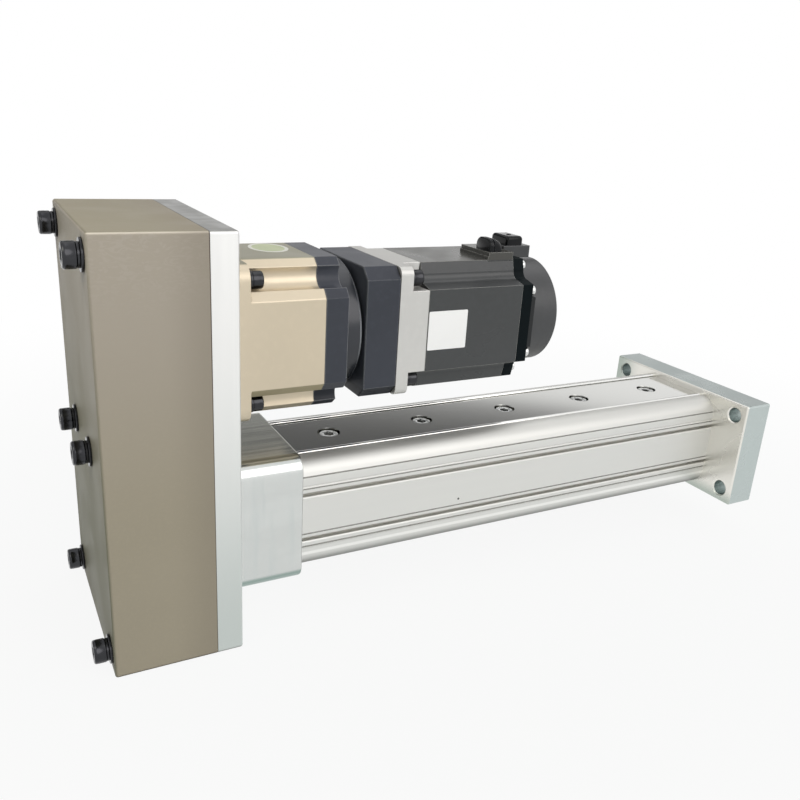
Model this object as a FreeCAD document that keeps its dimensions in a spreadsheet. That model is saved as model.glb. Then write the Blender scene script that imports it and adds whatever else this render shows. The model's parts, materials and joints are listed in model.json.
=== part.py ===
import FreeCAD, Part
import math
import os
import re
import Sketcher

# Electric cylinder: a servo motor above the cylinder drives a ball screw through a planetary
# gearbox and a toothed belt in the end box. The origin is the middle of the front flange's outer
# face, on the rod axis. +X is the way the rod extends and +Z is up. All sizes are millimetres.
SIZES = {
    # end box and the parts in line with the rod
    "box_width": 130, "box_height": 243, "box_foot": 64.5, "axis_offset": 112,
    "cover_depth": 57, "cover_wall": 10, "cavity_r": 44, "plate_thick": 15, "edge_chamfer": 1,
    "block_length": 44, "block_width": 90, "block_height": 83, "block_corner": 10,
    "tube_length": 350, "tube_width": 84, "tube_height": 76, "bore_r": 29,
    "flange_thick": 25, "flange_width": 144, "clearance": 1, "run": 0.05,
    # tube section: the sensor slots, the band along each side, the rounded shoulder, the roof and
    # the rib along each edge of the roof
    "slot_low": 14, "slot_high": 16.3, "slot_ease": 0.7, "slot_lip": 2, "slot_pocket": 1,
    "slot_depth": 5.5, "line_r": 0.45, "line_low": 11, "line_mid": 19.6, "line_high": 26.9,
    "line_high_y": 40.93, "side_band": 20, "side_step": 0.8, "shoulder_low": 24.5,
    "shoulder_arc": 12.8, "shoulder_in": 28.2, "roof_band": 24.5, "roof_drop": 1.5, "rib_width": 3,
    "rib_drop": 0.9,
    # fasteners: thread diameters, and head sizes as multiples of them
    "head_ratio": 1.65, "hex_ratio": 0.433, "hex_depth": 0.6, "thread_large": 8, "thread_mid": 6,
    "thread_small": 5, "thread_tiny": 4, "hole_slack": 0.4, "washer_thick": 1.4, "washer_r": 8.2,
    "mid_washer_r": 6, "cover_head": 6.4, "lock_washer": 1.6, "lock_washer_r": 5.3,
    "large_lock_r": 6.3, "blind_floor": 1.5, "thread_spare": 2,
    "corner_screw_y": 53, "corner_screw_inset": 12, "middle_screw_y": 26.5, "bridge_half": 6.8,
    "block_screw_y": 36, "block_screw_z": 34, "block_tap": 22, "tube_screw_y": 31,
    "tube_screw_z": 28, "tube_tap": 16, "flange_tap": 20,
    "mount_hole_y": 60.5, "mount_hole_z": 31, "mount_hole_r": 5.5, "mount_hole_chamfer": 1,
    # guide rail screwed to the roof of the bore
    "rail_pitch": 70, "rail_first": 35, "rail_width": 16, "rail_foot": 23, "rail_end": 11,
    "counterbore_r": 7.5, "counterbore_depth": 4.3, "low_head_r": 6.6, "low_head": 3.4,
    "low_head_ease": 0.6, "low_hex_depth": 2.2,
    # rod, piston and nut; the stroke runs from one stop buffer to the other
    "rod_r": 20, "rod_bore_r": 15, "rod_out": 30, "rod_end_head": 18, "rod_end_spigot": 32,
    "rod_thread_r": 10, "rod_thread_depth": 36, "drill_point": 5, "rod_flats": 36,
    "rod_flat_length": 12, "rod_flat_inset": 2, "gland_r": 25, "rod_bush": 14, "rod_seal": 5,
    "wiper": 6, "wiper_reach": 2, "wiper_tip": 0.6, "wiper_root": 2.2, "buffer": 10,
    "buffer_gap": 2, "stop_gap": 2, "nut_flange": 10, "nut_flange_r": 28, "nut_length": 50,
    "nut_tap": 16, "piston_length": 96, "piston_r": 28.5, "nut_screw_r": 23.2,
    "wear_ring_r": 26, "wear_ring_width": 8, "ring_inset": 6, "magnet_width": 12,
    "groove_slack": 0.3,
    # ball screw, its bearings and the lock nut
    "screw_r": 12.5, "screw_seat_r": 10, "screw_journal_r": 8, "screw_tip": 60, "tip_r": 6,
    "tip_bush_length": 14, "shaft_ease": 0.5, "bearing_outer_r": 23.5, "bearing_width": 14,
    "bearing_ball_r": 3.5, "retainer_thick": 8, "retainer_r": 28, "retainer_bore_r": 15.5,
    "spanner_hole_y": 22, "spanner_hole_r": 2, "spanner_hole": 5, "lock_nut_length": 9,
    "lock_nut_r": 16, "lock_slot": 4,
    # toothed belt drive: two equal pulleys, 8 mm pitch, a whole number of pitches per run and wrap
    "pulley_r": 37.46, "belt_inner_r": 37.51, "belt_outer_r": 40.15, "belt_width": 30,
    "tooth_r": 2.4, "tooth_centre_r": 36.7, "groove_r": 2.75, "pulley_flange_r": 41.5,
    "pulley_flange": 2, "pulley_width": 32, "pulley_gap": 4, "key_width": 5, "key_length": 28,
    "key_inset": 4,
    # planetary gearbox
    "gear_half": 45, "gear_flange": 12, "gear_body": 43.6, "gear_ring": 14, "gear_disc": 13.4,
    "gear_corner": 9, "gear_flat": 25, "gear_screw": 35.4, "channel_half": 5.3, "channel_r": 7.6,
    "disc_r": 40, "disc_chamfer": 1.6, "disc_neck": 1.6, "disc_neck_r": 36, "hub_bore_r": 20,
    "carrier_r": 33, "carrier_shaft_r": 15, "output_r": 10, "gear_bearing_r": 27.5,
    "gear_bearing_width": 13, "gear_spacer": 2, "gear_ball_r": 4, "seal_width": 4,
    "planet_orbit": 22.5, "pin_r": 4, "pin_depth": 14, "gear_width": 12, "end_gap": 1,
    "sun_neck": 2, "sun_neck_r": 6, "hub_r": 17, "hub_length": 30, "hub_floor": 2,
    "hub_slit": 1.6, "hub_slit_start": 6, "gear_module": 1, "sun_teeth": 18, "planet_teeth": 27,
    "ring_teeth": 72, "addendum": 0.85, "dedendum": 1.25, "tooth_sink": 0.3,
    "tooth_tip_half": 0.27, "tooth_root_half": 0.95,
    # motor adapter and servo motor
    "motor_half": 40, "adapter_length": 22, "adapter_corner": 7, "adapter_screw": 20,
    "adapter_tap": 11, "motor_flange": 20, "motor_flange_base": 8.5, "motor_corner": 5,
    "motor_notch": 25.5, "motor_screw": 31.8, "motor_tap": 14, "pilot_r": 35, "pilot_depth": 3,
    "pilot_slack": 0.2, "motor_body": 69, "motor_flat": 25.7, "notch_wall": 27.5,
    "notch_shelf": 33, "notch_arc": 5.6, "rear_plate": 12.5, "rear_step": 4.5, "rear_inset": 2,
    "layer_side": 16.8, "layer_corner": 31.8,
    "rear_screw_out": 34.8, "rear_screw_side": 20.8, "cap_length": 22, "cap_r": 35.7,
    "cap_wall": 2.5, "cap_ease": 1.2, "stator_gap": 4, "stator_r": 36, "stator_bore_r": 22,
    "stator_length": 60, "stator_lip": 3, "stator_slot": 6, "coil_width": 5.6, "slot_height": 8,
    "air_gap": 0.5, "motor_shaft_r": 9.5, "motor_seat_r": 10, "motor_core_r": 12,
    "front_bearing_r": 21, "front_bearing_width": 12, "rear_seat_r": 7.5, "rear_bearing_r": 17.5,
    "rear_bearing_width": 11, "motor_ball_r": 3, "encoder_shaft_r": 4, "encoder_shaft": 12,
    "encoder_disc_r": 24, "encoder_disc": 2, "encoder_stand": 6,
    # motor connectors
    "power_x": 50, "power_length": 18.5, "power_near": 26, "power_far": 8, "power_rise": 4.5,
    "platform_sink": 1, "ledge_length": 0.8, "ledge_rise": 2, "socket_gap": 2,
    "signal_length": 21.3, "signal_near": 12, "signal_far": 14, "signal_rise": 6, "signal_skirt": 2,
    "power_plug_x": 1.6, "power_plug_length": 9.6, "power_plug_y": 2, "power_plug_width": 17,
    "power_plug_height": 8, "signal_plug_x": 2.6, "signal_plug_length": 13.3, "signal_plug_y": 0.5,
    "signal_plug_width": 19.5, "signal_plug_height": 6.6, "plug_bevel": 2.5,
}

doc = FreeCAD.newDocument("ElectricCylinder")
sheet = doc.addObject("Spreadsheet::Sheet", "Sizes")
for row, (size_name, size) in enumerate(SIZES.items(), start=1):
    sheet.set(f"A{row}", size_name.replace("_", " "))
    sheet.set(f"B{row}", str(size))
    sheet.setAlias(f"B{row}", size_name)
doc.recompute()

# Stations along X, from the front flange back to the box and out again along the motor
TUBE_X = "-(flange_thick + tube_length)"
BLOCK_X = f"{TUBE_X} - block_length"
PLATE_X = f"{BLOCK_X} - plate_thick"
COVER_X = f"{PLATE_X} - cover_depth"
PULLEY_X = f"{COVER_X} + cover_wall + pulley_gap"
PULLEY_SPAN = "(pulley_width + 2 * pulley_flange)"
GEAR_X = BLOCK_X
RING_X = f"{GEAR_X} + gear_flange + gear_body"
DISC_X = f"{RING_X} + gear_ring"
ADAPTER_X = f"{DISC_X} + gear_disc"
MOTOR_X = f"{ADAPTER_X} + adapter_length"
MOTOR_BODY_X = f"{MOTOR_X} + motor_flange"
REAR_X = f"{MOTOR_BODY_X} + motor_body"
CAP_X = f"{REAR_X} + rear_plate"
POWER_X = f"{MOTOR_BODY_X} + power_x"
BEARING_X = f"{TUBE_X} - retainer_thick - 2 * bearing_width"
PISTON_X = f"{TUBE_X} + buffer + stop_gap"
GEAR_TEETH_X = f"{RING_X} + (gear_ring - gear_width) / 2"
MOTOR_AXIS = "axis_offset"

# Depths and radii that several parts share
BEARING_ROOM = "(seal_width + 2 * gear_bearing_width + gear_spacer + end_gap)"
FRONT_SEAT = "(front_bearing_width + 2 * end_gap)"
TUBE_SINK = "(thread_mid + clearance)"
SMALL_DEPTH = "(thread_small + clearance)"
ROOF = "(tube_height / 2 - roof_drop)"
LARGE_HOLE = "(thread_large / 2 + hole_slack)"
LARGE_SINK = "(thread_large * head_ratio / 2 + hole_slack)"
MID_HOLE = "(thread_mid / 2 + hole_slack)"
MID_SINK = "(thread_mid * head_ratio / 2 + hole_slack)"
SMALL_HOLE = "(thread_small / 2 + hole_slack / 2)"
SMALL_SINK = "(thread_small * head_ratio / 2 + hole_slack)"

ALONG_X = FreeCAD.Rotation(FreeCAD.Vector(0, 1, 0), 90)
HEAD_FORWARD = FreeCAD.Rotation(FreeCAD.Vector(0, 0, 1), 180)
HEAD_UP = FreeCAD.Rotation(FreeCAD.Vector(0, 1, 0), 90)
SIGNS = (-1, 1)
nodes = {}


# Helpers that bind every size to the sheet
def bound(expression):
    """The expression with each size name pointed at the sheet."""
    return re.sub(r"\b([a-z]\w*)\b(?!\()", r"Sizes.\1", str(expression))


def value(expression):
    return float(sheet.evalExpression(str(expression)))


def place(item, x="0", y="0", z="0", turn=None):
    if turn is not None:
        item.Placement = FreeCAD.Placement(FreeCAD.Vector(), turn)
    for axis, expression in zip("xyz", (x, y, z)):
        item.setExpression(f"Placement.Base.{axis}", bound(expression))
    return item


def keep(label, item):
    """Names a finished sub-part, so that it is written to a file of that name."""
    item.Label = label
    nodes[label] = item
    return item


def bar(name, radius, length, x, y="0", z="0", turn=ALONG_X):
    item = doc.addObject("Part::Cylinder", name)
    item.setExpression("Radius", bound(radius))
    item.setExpression("Height", bound(length))
    return place(item, x, y, z, turn)


def block(name, size, corner):
    item = doc.addObject("Part::Box", name)
    for side, expression in zip(("Length", "Width", "Height"), size):
        item.setExpression(side, bound(expression))
    return place(item, *corner)


def fuse(name, items):
    item = doc.addObject("Part::MultiFuse", name)
    item.Shapes = items
    return item


def cut(name, base, tools):
    item = doc.addObject("Part::Cut", name)
    item.Base = base
    item.Tool = tools[0] if len(tools) == 1 else fuse(f"{name}_tools", tools)
    return item


def group(name, items):
    """Separate solids that share one file."""
    item = doc.addObject("Part::Compound", name)
    item.Links = items
    return item


# Sketched outlines
def arc_between(start, end, radius):
    """The shorter arc from start to end. A positive radius turns left and a negative one right."""
    chord = end - start
    left = FreeCAD.Vector(-chord.y, chord.x, 0).normalize()
    height = math.sqrt(radius ** 2 - (chord.Length / 2) ** 2)
    centre = (start + end) * 0.5 + left * math.copysign(height, radius)
    angles = [math.atan2(p.y - centre.y, p.x - centre.x) for p in (start, end)]
    if radius < 0:
        angles.reverse()
    return Part.ArcOfCircle(Part.Circle(centre, FreeCAD.Vector(0, 0, 1), abs(radius)), *angles)


def hold(sketch, edge, point, axis, expression):
    """Ties one coordinate of a sketch point to the sheet."""
    if abs(value(expression)) < 1e-9:
        origin_axis = -2 if axis == "X" else -1
        sketch.addConstraint(Sketcher.Constraint("PointOnObject", edge, point, origin_axis))
        return
    rule = Sketcher.Constraint(f"Distance{axis}", -1, 1, edge, point, value(expression))
    sketch.setExpression(f"Constraints[{sketch.addConstraint(rule)}]", bound(expression))


def draw(sketch, corners):
    """A closed outline. A corner is (u, v), or (u, v, radius) where the edge leaving it is an arc."""
    points = [FreeCAD.Vector(value(c[0]), value(c[1]), 0) for c in corners]
    starts, ends = [], []
    for i, corner in enumerate(corners):
        start, end = points[i], points[(i + 1) % len(points)]
        radius = value(corner[2]) if len(corner) == 3 else 0
        edge = arc_between(start, end, radius) if radius else Part.LineSegment(start, end)
        sketch.addGeometry(edge)
        starts.append(2 if radius < 0 else 1)
        ends.append(1 if radius < 0 else 2)
    for i, corner in enumerate(corners):
        following = (i + 1) % len(corners)
        joint = Sketcher.Constraint("Coincident", i, ends[i], following, starts[following])
        sketch.addConstraint(joint)
        hold(sketch, i, starts[i], "X", corner[0])
        hold(sketch, i, starts[i], "Y", corner[1])
        if len(corner) == 3:
            rule = Sketcher.Constraint("Radius", i, abs(value(corner[2])))
            index = sketch.addConstraint(rule)
            sketch.setExpression(f"Constraints[{index}]", bound(f"abs({corner[2]})"))


def draw_circle(sketch, radius):
    circle = Part.Circle(FreeCAD.Vector(), FreeCAD.Vector(0, 0, 1), value(radius))
    index = sketch.addGeometry(circle)
    sketch.addConstraint(Sketcher.Constraint("Coincident", index, 3, -1, 1))
    rule = sketch.addConstraint(Sketcher.Constraint("Radius", index, value(radius)))
    sketch.setExpression(f"Constraints[{rule}]", bound(radius))


def new_sketch(body, name, plane):
    sketch = body.newObject("Sketcher::SketchObject", name)
    support = next(o for o in body.Origin.OriginFeatures if o.Role == plane)
    sketch.AttachmentSupport = [(support, "")]
    sketch.MapMode = "FlatFace"
    return sketch


def pad(body, name, sketch, length):
    feature = body.newObject("PartDesign::Pad", name)
    feature.Profile = sketch
    feature.setExpression("Length", bound(length))
    return feature


def turned(name, corners, x, y="0", z="0", turn=None):
    """A body turned about its own X axis. The corners are (distance along X, radius)."""
    body = doc.addObject("PartDesign::Body", name)
    sketch = new_sketch(body, f"{name}_profile", "XZ_Plane")
    draw(sketch, corners)
    feature = body.newObject("PartDesign::Revolution", f"{name}_turn")
    feature.Profile = sketch
    feature.ReferenceAxis = (sketch, ["H_Axis"])
    feature.Angle = 360
    return place(body, x, y, z, turn)


def extruded(name, corners, length, x, z="0", hole=None):
    """A body drawn in the YZ plane and drawn out along +X."""
    body = doc.addObject("PartDesign::Body", name)
    sketch = new_sketch(body, f"{name}_section", "YZ_Plane")
    draw(sketch, corners)
    if hole:
        draw_circle(sketch, hole)
    pad(body, f"{name}_pad", sketch, length)
    return place(body, x, "0", z)


def dress(body, kind, size, pick):
    """Chamfers or fillets the edges that pick chooses in the body's own frame."""
    doc.recompute()
    base = body.Tip
    edges = [f"Edge{i}" for i, edge in enumerate(base.Shape.Edges, start=1) if pick(edge)]
    feature = body.newObject(f"PartDesign::{kind}", f"{body.Name}_{kind.lower()}")
    feature.Base = (base, edges)
    feature.setExpression("Size" if kind == "Chamfer" else "Radius", bound(size))
    return body


def runs_along(edge):
    return edge.BoundBox.XLength > 1e-6


def lies_across(edge):
    return not runs_along(edge)


def at_start(edge):
    return edge.BoundBox.XMax < 1e-6


def rectangle(left, bottom, right, top):
    return [(left, bottom), (right, bottom), (right, top), (left, top)]


def rounded(half_width, half_height, radius):
    w, h, r = f"({half_width})", f"({half_height})", f"({radius})"
    return [
        (f"{w} - {r}", f"-{h}"), (f"{w}", f"-({h} - {r})"),
        (f"{w}", f"{h} - {r}"), (f"{w} - {r}", f"{h}"),
        (f"-({w} - {r})", f"{h}"), (f"-{w}", f"{h} - {r}"),
        (f"-{w}", f"-({h} - {r})"), (f"-({w} - {r})", f"-{h}"),
    ]


def with_arcs(corners, radius):
    """Every second edge of the outline becomes an arc."""
    return [c + (radius,) if i % 2 == 0 else c for i, c in enumerate(corners)]


def four_fold(quarter):
    """Repeats a quarter of an outline round the axis."""
    corners = []
    for _ in range(4):
        corners += quarter
        quarter = [(f"-({c[1]})", c[0]) + c[2:] for c in quarter]
    return corners


def mirrored(quarter):
    """The whole outline of a section that is the same left and right, top and bottom."""
    def flip(corners, sign_u, sign_v):
        turned_back = list(reversed(corners))
        leaving = [c[2:] for c in turned_back[1:]] + [()]
        return [(f"{sign_u}({c[0]})", f"{sign_v}({c[1]})") + arc
                for c, arc in zip(turned_back, leaving)]

    half = quarter + flip(quarter, "-", "")
    lower = [(f"-({c[0]})", f"-({c[1]})") + c[2:] for c in half]
    return half + lower


def ring(outer, inner, width, start="0"):
    """Corners of a plain ring for turned()."""
    end = f"{start} + {width}"
    return [(start, inner), (end, inner), (end, outer), (start, outer)]


def square_places(y, z, centre="0"):
    return [(f"{a} * ({y})", f"{centre} + {b} * ({z})") for a in SIGNS for b in SIGNS]


def socket_screw(name, thread, grip, x, y, z, turn=None, head=None):
    """Socket head screw: the shank runs along its own +X from under the head."""
    head = head or thread
    head_r = f"{thread} * head_ratio / 2"
    ease = f"{thread} / 10"
    corners = [
        (f"-({head})", "0"), (f"-({head})", f"{head_r} - {ease}"),
        (f"-({head}) + {ease}", head_r), ("0", head_r), ("0", f"{thread} / 2"),
        (f"{grip} - {ease}", f"{thread} / 2"), (grip, f"{thread} / 2 - {ease}"), (grip, "0"),
    ]
    blank = turned(f"{name}_blank", corners, x, y, z, turn)
    hexagon = doc.addObject("Part::Prism", f"{name}_hexagon")
    hexagon.Polygon = 6
    hexagon.setExpression("Circumradius", bound(f"{thread} * hex_ratio"))
    hexagon.setExpression("Height", bound(f"{thread} * hex_depth"))
    outward = FreeCAD.Vector(-1, 0, 0) if turn is None else turn.multVec(FreeCAD.Vector(-1, 0, 0))
    shift = [f"{p} + ({d:.0f}) * {head}" for p, d in zip((x, y, z), outward)]
    facing = ALONG_X if turn is None else turn.multiply(ALONG_X)
    place(hexagon, *shift, facing)
    return cut(name, blank, [hexagon])


def screw_set(name, thread, grip, x, places, turn=None, head=None):
    return [socket_screw(f"{name}_{i}", thread, grip, x, y, z, turn, head)
            for i, (y, z) in enumerate(places, start=1)]


def keep_group(label, items):
    return keep(label, group(label, items))


def washer_set(name, outer_r, thread, thick, x, places):
    corners = ring(outer_r, f"{thread} / 2 + hole_slack", thick)
    return [turned(f"{name}_{i}", corners, x, y, z) for i, (y, z) in enumerate(places, start=1)]


def keep_washed_screws(name, hold, seat, places):
    """Socket screws of the middle size, each on a lock washer and a flat washer."""
    under_lock = f"{seat} + washer_thick"
    under_head = f"{under_lock} + lock_washer"
    grip = f"lock_washer + washer_thick + {hold}"
    screws = screw_set(f"{name}_bolt", "thread_mid", grip, under_head, places, HEAD_FORWARD)
    locks = washer_set(f"{name}_lock", "lock_washer_r", "thread_mid", "lock_washer", under_lock, places)
    washers = washer_set(f"{name}_washer", "mid_washer_r", "thread_mid", "washer_thick", seat, places)
    keep_group(f"{name}_screws", screws + locks + washers)


def bores(name, radius, length, x, places):
    return [bar(f"{name}_{i}", radius, length, x, y, z)
            for i, (y, z) in enumerate(places, start=1)]


def torus(name, major, minor, x, z):
    item = doc.addObject("Part::Torus", name)
    item.setExpression("Radius1", bound(major))
    item.setExpression("Radius2", bound(minor))
    return place(item, x, "0", z, ALONG_X)


def bearing_rings(label, starts, inner_r, outer_r, width, ball_r, z):
    """The outer and inner rings of ball bearings in line, each with its ball track."""
    pitch = f"({inner_r} + {outer_r}) / 2"
    track = f"{ball_r} + 2 * run"
    spans = {
        "outer": (outer_r, f"{pitch} + {ball_r} / 2"),
        "inner": (f"{pitch} - {ball_r} / 2", inner_r),
    }
    made = {}
    for side, (high, low) in spans.items():
        rings = []
        for i, start in enumerate(starts, start=1):
            blank = turned(f"{label}_{side}_blank_{i}", ring(high, low, width), start, z=z)
            groove = torus(f"{label}_{side}_track_{i}", pitch, track, f"{start} + {width} / 2", z)
            rings.append(cut(f"{label}_{side}_ring_{i}", blank, [groove]))
        made[side] = rings
    return made


def keep_rings(label, rings):
    for side, items in rings.items():
        keep_group(f"{label}_{side}_rings", items)


# End box
def cover_places():
    low = "corner_screw_inset - box_foot"
    high = "box_height - box_foot - corner_screw_inset"
    corners = [(f"{s} * corner_screw_y", z) for s in SIGNS for z in (low, high)]
    return corners + [(f"{s} * middle_screw_y", "axis_offset / 2") for s in SIGNS]


def box_outline():
    return rectangle("-box_width / 2", "-box_foot", "box_width / 2", "box_height - box_foot")


def stadium(name, radius, length, x):
    ends = [bar(f"{name}_{i}", radius, length, x, z=z) for i, z in enumerate(("0", MOTOR_AXIS))]
    middle = block(f"{name}_middle", (length, f"2 * ({radius})", "axis_offset"),
                   (x, f"-({radius})", "0"))
    return fuse(name, [*ends, middle])


def drive_cover():
    blank = extruded("drive_cover_blank", box_outline(), "cover_depth", COVER_X)
    dress(blank, "Chamfer", "edge_chamfer", lambda e: runs_along(e) or at_start(e))
    inside = f"{COVER_X} + cover_wall"
    depth = "cover_depth - cover_wall"
    cavity = stadium("belt_cavity", "cavity_r", depth, inside)
    # the bridge inside the belt loop carries the two middle screws
    bridge = block("bridge_bar", (depth, "2 * middle_screw_y", "2 * bridge_half"),
                   (inside, "-middle_screw_y", "axis_offset / 2 - bridge_half"))
    ends = bores("bridge_end", "bridge_half", depth, inside, cover_places()[4:])
    space = cut("belt_space", cavity, [fuse("bridge", [bridge, *ends])])
    holes = bores("cover_hole", LARGE_HOLE, "cover_depth", COVER_X, cover_places())
    keep("drive_cover", cut("drive_cover", blank, [space, *holes]))
    under_lock = f"{COVER_X} - washer_thick"
    under_head = f"{under_lock} - lock_washer"
    grip = "lock_washer + washer_thick + cover_depth + plate_thick - blind_floor - thread_spare"
    screws = screw_set("cover_screw", "thread_large", grip, under_head, cover_places(),
                       head="cover_head")
    locks = washer_set("cover_lock", "large_lock_r", "thread_large", "lock_washer", under_head,
                       cover_places())
    washers = washer_set("cover_washer", "washer_r", "thread_large", "washer_thick", under_lock,
                         cover_places())
    keep_group("cover_screws", screws + locks + washers)


def block_places():
    sides = [(f"{s} * block_screw_y", "0") for s in SIGNS]
    return sides + [("0", f"{s} * block_screw_z") for s in SIGNS]


def gear_places():
    return square_places("gear_screw", "gear_screw", MOTOR_AXIS)


def mount_plate():
    blank = extruded("mount_plate_blank", box_outline(), "plate_thick", PLATE_X)
    dress(blank, "Chamfer", "edge_chamfer", lambda e: runs_along(e) or not at_start(e))
    blind = "plate_thick - blind_floor"
    tools = [
        bar("plate_screw_bore", "lock_nut_r + clearance", "plate_thick", PLATE_X),
        bar("plate_gear_bore", "gear_bearing_r - clearance", "plate_thick", PLATE_X, z=MOTOR_AXIS),
        *bores("plate_cover_tap", "thread_large / 2", blind, PLATE_X, cover_places()),
        *bores("plate_block_hole", LARGE_HOLE, "plate_thick", PLATE_X, block_places()),
        *bores("plate_block_sink", LARGE_SINK, "thread_large", PLATE_X, block_places()),
        *bores("plate_gear_tap", "thread_mid / 2", blind, f"{PLATE_X} + blind_floor", gear_places()),
    ]
    keep("mount_plate", cut("mount_plate", blank, tools))


def block_screws():
    """Screws that hold the block to the plate, and the tube to the block."""
    grip = "plate_thick - thread_large + block_tap - thread_spare"
    under_head = f"{PLATE_X} + thread_large"
    plate = screw_set("plate_screw", "thread_large", grip, under_head, block_places())
    grip = f"block_length - {TUBE_SINK} + tube_tap - thread_spare"
    under_head = f"{BLOCK_X} + {TUBE_SINK}"
    tube = screw_set("tube_screw", "thread_mid", grip, under_head, tube_places())
    keep_group("block_screws", plate + tube)


# Bearing block, tube and front flange
def tube_places():
    return square_places("tube_screw_y", "tube_screw_z")


def bearing_block():
    outline = rounded("block_width / 2", "block_height / 2", "block_corner")
    section = with_arcs(outline, "block_corner")
    blank = extruded("bearing_block_blank", section, "block_length", BLOCK_X)
    dress(blank, "Chamfer", "edge_chamfer / 2", lies_across)
    tools = [
        bar("block_bore", "lock_nut_r + clearance", "block_length", BLOCK_X),
        bar("block_seat", "bearing_outer_r", "2 * bearing_width + retainer_thick", BEARING_X),
        bar("block_retainer_seat", "retainer_r", "retainer_thick", f"{TUBE_X} - retainer_thick"),
        *bores("block_tapped", "thread_large / 2", "block_tap", BLOCK_X, block_places()),
        *bores("block_tube_hole", MID_HOLE, "block_length", BLOCK_X, tube_places()),
        *bores("block_tube_sink", MID_SINK, TUBE_SINK, BLOCK_X, tube_places()),
    ]
    keep("bearing_block", cut("bearing_block", blank, tools))


def bearing_retainer():
    """Threaded ring that holds the bearings, with two spanner holes."""
    start = f"{TUBE_X} - retainer_thick"
    corners = ring("retainer_r", "retainer_bore_r", "retainer_thick")
    blank = turned("bearing_retainer_blank", corners, start)
    places = [(f"{s} * spanner_hole_y", "0") for s in SIGNS]
    floor = f"{TUBE_X} - spanner_hole"
    holes = bores("spanner_bore", "spanner_hole_r", "spanner_hole", floor, places)
    keep("bearing_retainer", cut("bearing_retainer", blank, holes))


def level_arc(reach, drop):
    """Radius of an arc that starts level and falls by drop over reach."""
    return f"(({reach}) * ({reach}) + {drop} * {drop}) / (2 * {drop})"


def tube_section():
    """Extruded section: a sensor slot in each half of each side, and a roof and foot between ribs."""
    w, h = "tube_width / 2", "tube_height / 2"
    mouth, lip, depth = f"{w} - slot_ease", f"{w} - slot_lip", f"{w} - slot_depth"
    low, high = "slot_low - slot_pocket", "slot_high + slot_pocket"
    step, eaves, half_rib = f"{w} - side_step", f"{h} - rib_drop", "rib_width / 2"
    quarter = [
        (w, "slot_low - slot_ease"), (mouth, "slot_low"), (lip, "slot_low"), (lip, low),
        (depth, low), (depth, high), (lip, high), (lip, "slot_high"), (mouth, "slot_high"),
        (w, "slot_high + slot_ease"),
        (w, "side_band"), (step, "side_band + side_step"), (step, "shoulder_low", "shoulder_arc"),
        ("shoulder_in", eaves), ("roof_band + rib_width", eaves, level_arc(half_rib, "rib_drop")),
        (f"roof_band + {half_rib}", h, level_arc(half_rib, "roof_drop")), ("roof_band", ROOF),
    ]
    return mirrored(quarter)


def line_places():
    """Fine lines along the sides of the tube."""
    half = "tube_width / 2"
    heights = [(half, "line_mid"), (half, "-line_mid"), (half, "-line_low"), ("line_high_y", "line_high")]
    return [(f"{s} * {y}", z) for s in SIGNS for y, z in heights]


def rail_stations():
    return [f"{TUBE_X} + rail_first + {i} * rail_pitch" for i in range(5)]


def cylinder_tube():
    blank = extruded("cylinder_tube_blank", tube_section(), "tube_length", TUBE_X)
    tools = [bar("tube_bore", "bore_r", "tube_length", TUBE_X)]
    tools += bores("side_line", "line_r", "tube_length", TUBE_X, line_places())
    tools += bores("tube_rear_thread", "thread_mid / 2", "tube_tap", TUBE_X, tube_places())
    tools += bores("tube_front_thread", "thread_mid / 2", "flange_tap",
                   "-flange_thick - flange_tap", tube_places())
    upright = FreeCAD.Rotation()
    for i, x in enumerate(rail_stations(), start=1):
        tools.append(bar(f"rail_hole_{i}", LARGE_HOLE, ROOF, x, turn=upright))
        tools.append(bar(f"rail_sink_{i}", "counterbore_r", "counterbore_depth + clearance", x,
                         z=f"{ROOF} - counterbore_depth", turn=upright))
    keep("cylinder_tube", cut("cylinder_tube", blank, tools))


def guide_rail():
    start = f"{TUBE_X} + rail_end"
    length = "tube_length - 2 * rail_end"
    strip = block("guide_rail_strip", (length, "rail_width", "bore_r - rail_foot"),
                  (start, "-rail_width / 2", "rail_foot"))
    crowned = doc.addObject("Part::Common", "guide_rail_crowned")
    crowned.Base = strip
    crowned.Tool = bar("guide_rail_round", "bore_r", length, start)
    taps = [bar(f"rail_tap_{i}", "thread_large / 2", "bore_r", x, turn=FreeCAD.Rotation())
            for i, x in enumerate(rail_stations(), start=1)]
    keep("guide_rail", cut("guide_rail", crowned, taps))
    seat = f"{ROOF} - counterbore_depth"
    screws = [low_screw(f"guide_rail_screw_{i}", x, seat)
              for i, x in enumerate(rail_stations(), start=1)]
    keep_group("guide_rail_screws", screws)


def low_screw(name, x, seat):
    """Low head screw, upright, sunk in the roof of the tube."""
    grip = f"({seat}) - rail_foot"
    corners = [
        ("-low_head", "0"), ("-low_head", "low_head_r - low_head_ease"),
        ("-low_head + low_head_ease", "low_head_r"), ("0", "low_head_r"),
        ("0", "thread_large / 2"), (grip, "thread_large / 2"), (grip, "0"),
    ]
    blank = turned(f"{name}_blank", corners, x, "0", seat, HEAD_UP)
    hexagon = doc.addObject("Part::Prism", f"{name}_hexagon")
    hexagon.Polygon = 6
    hexagon.setExpression("Circumradius", bound("thread_mid * hex_ratio"))
    hexagon.setExpression("Height", bound("low_head"))
    place(hexagon, x, "0", f"{seat} + low_head - low_hex_depth")
    return cut(name, blank, [hexagon])


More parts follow.
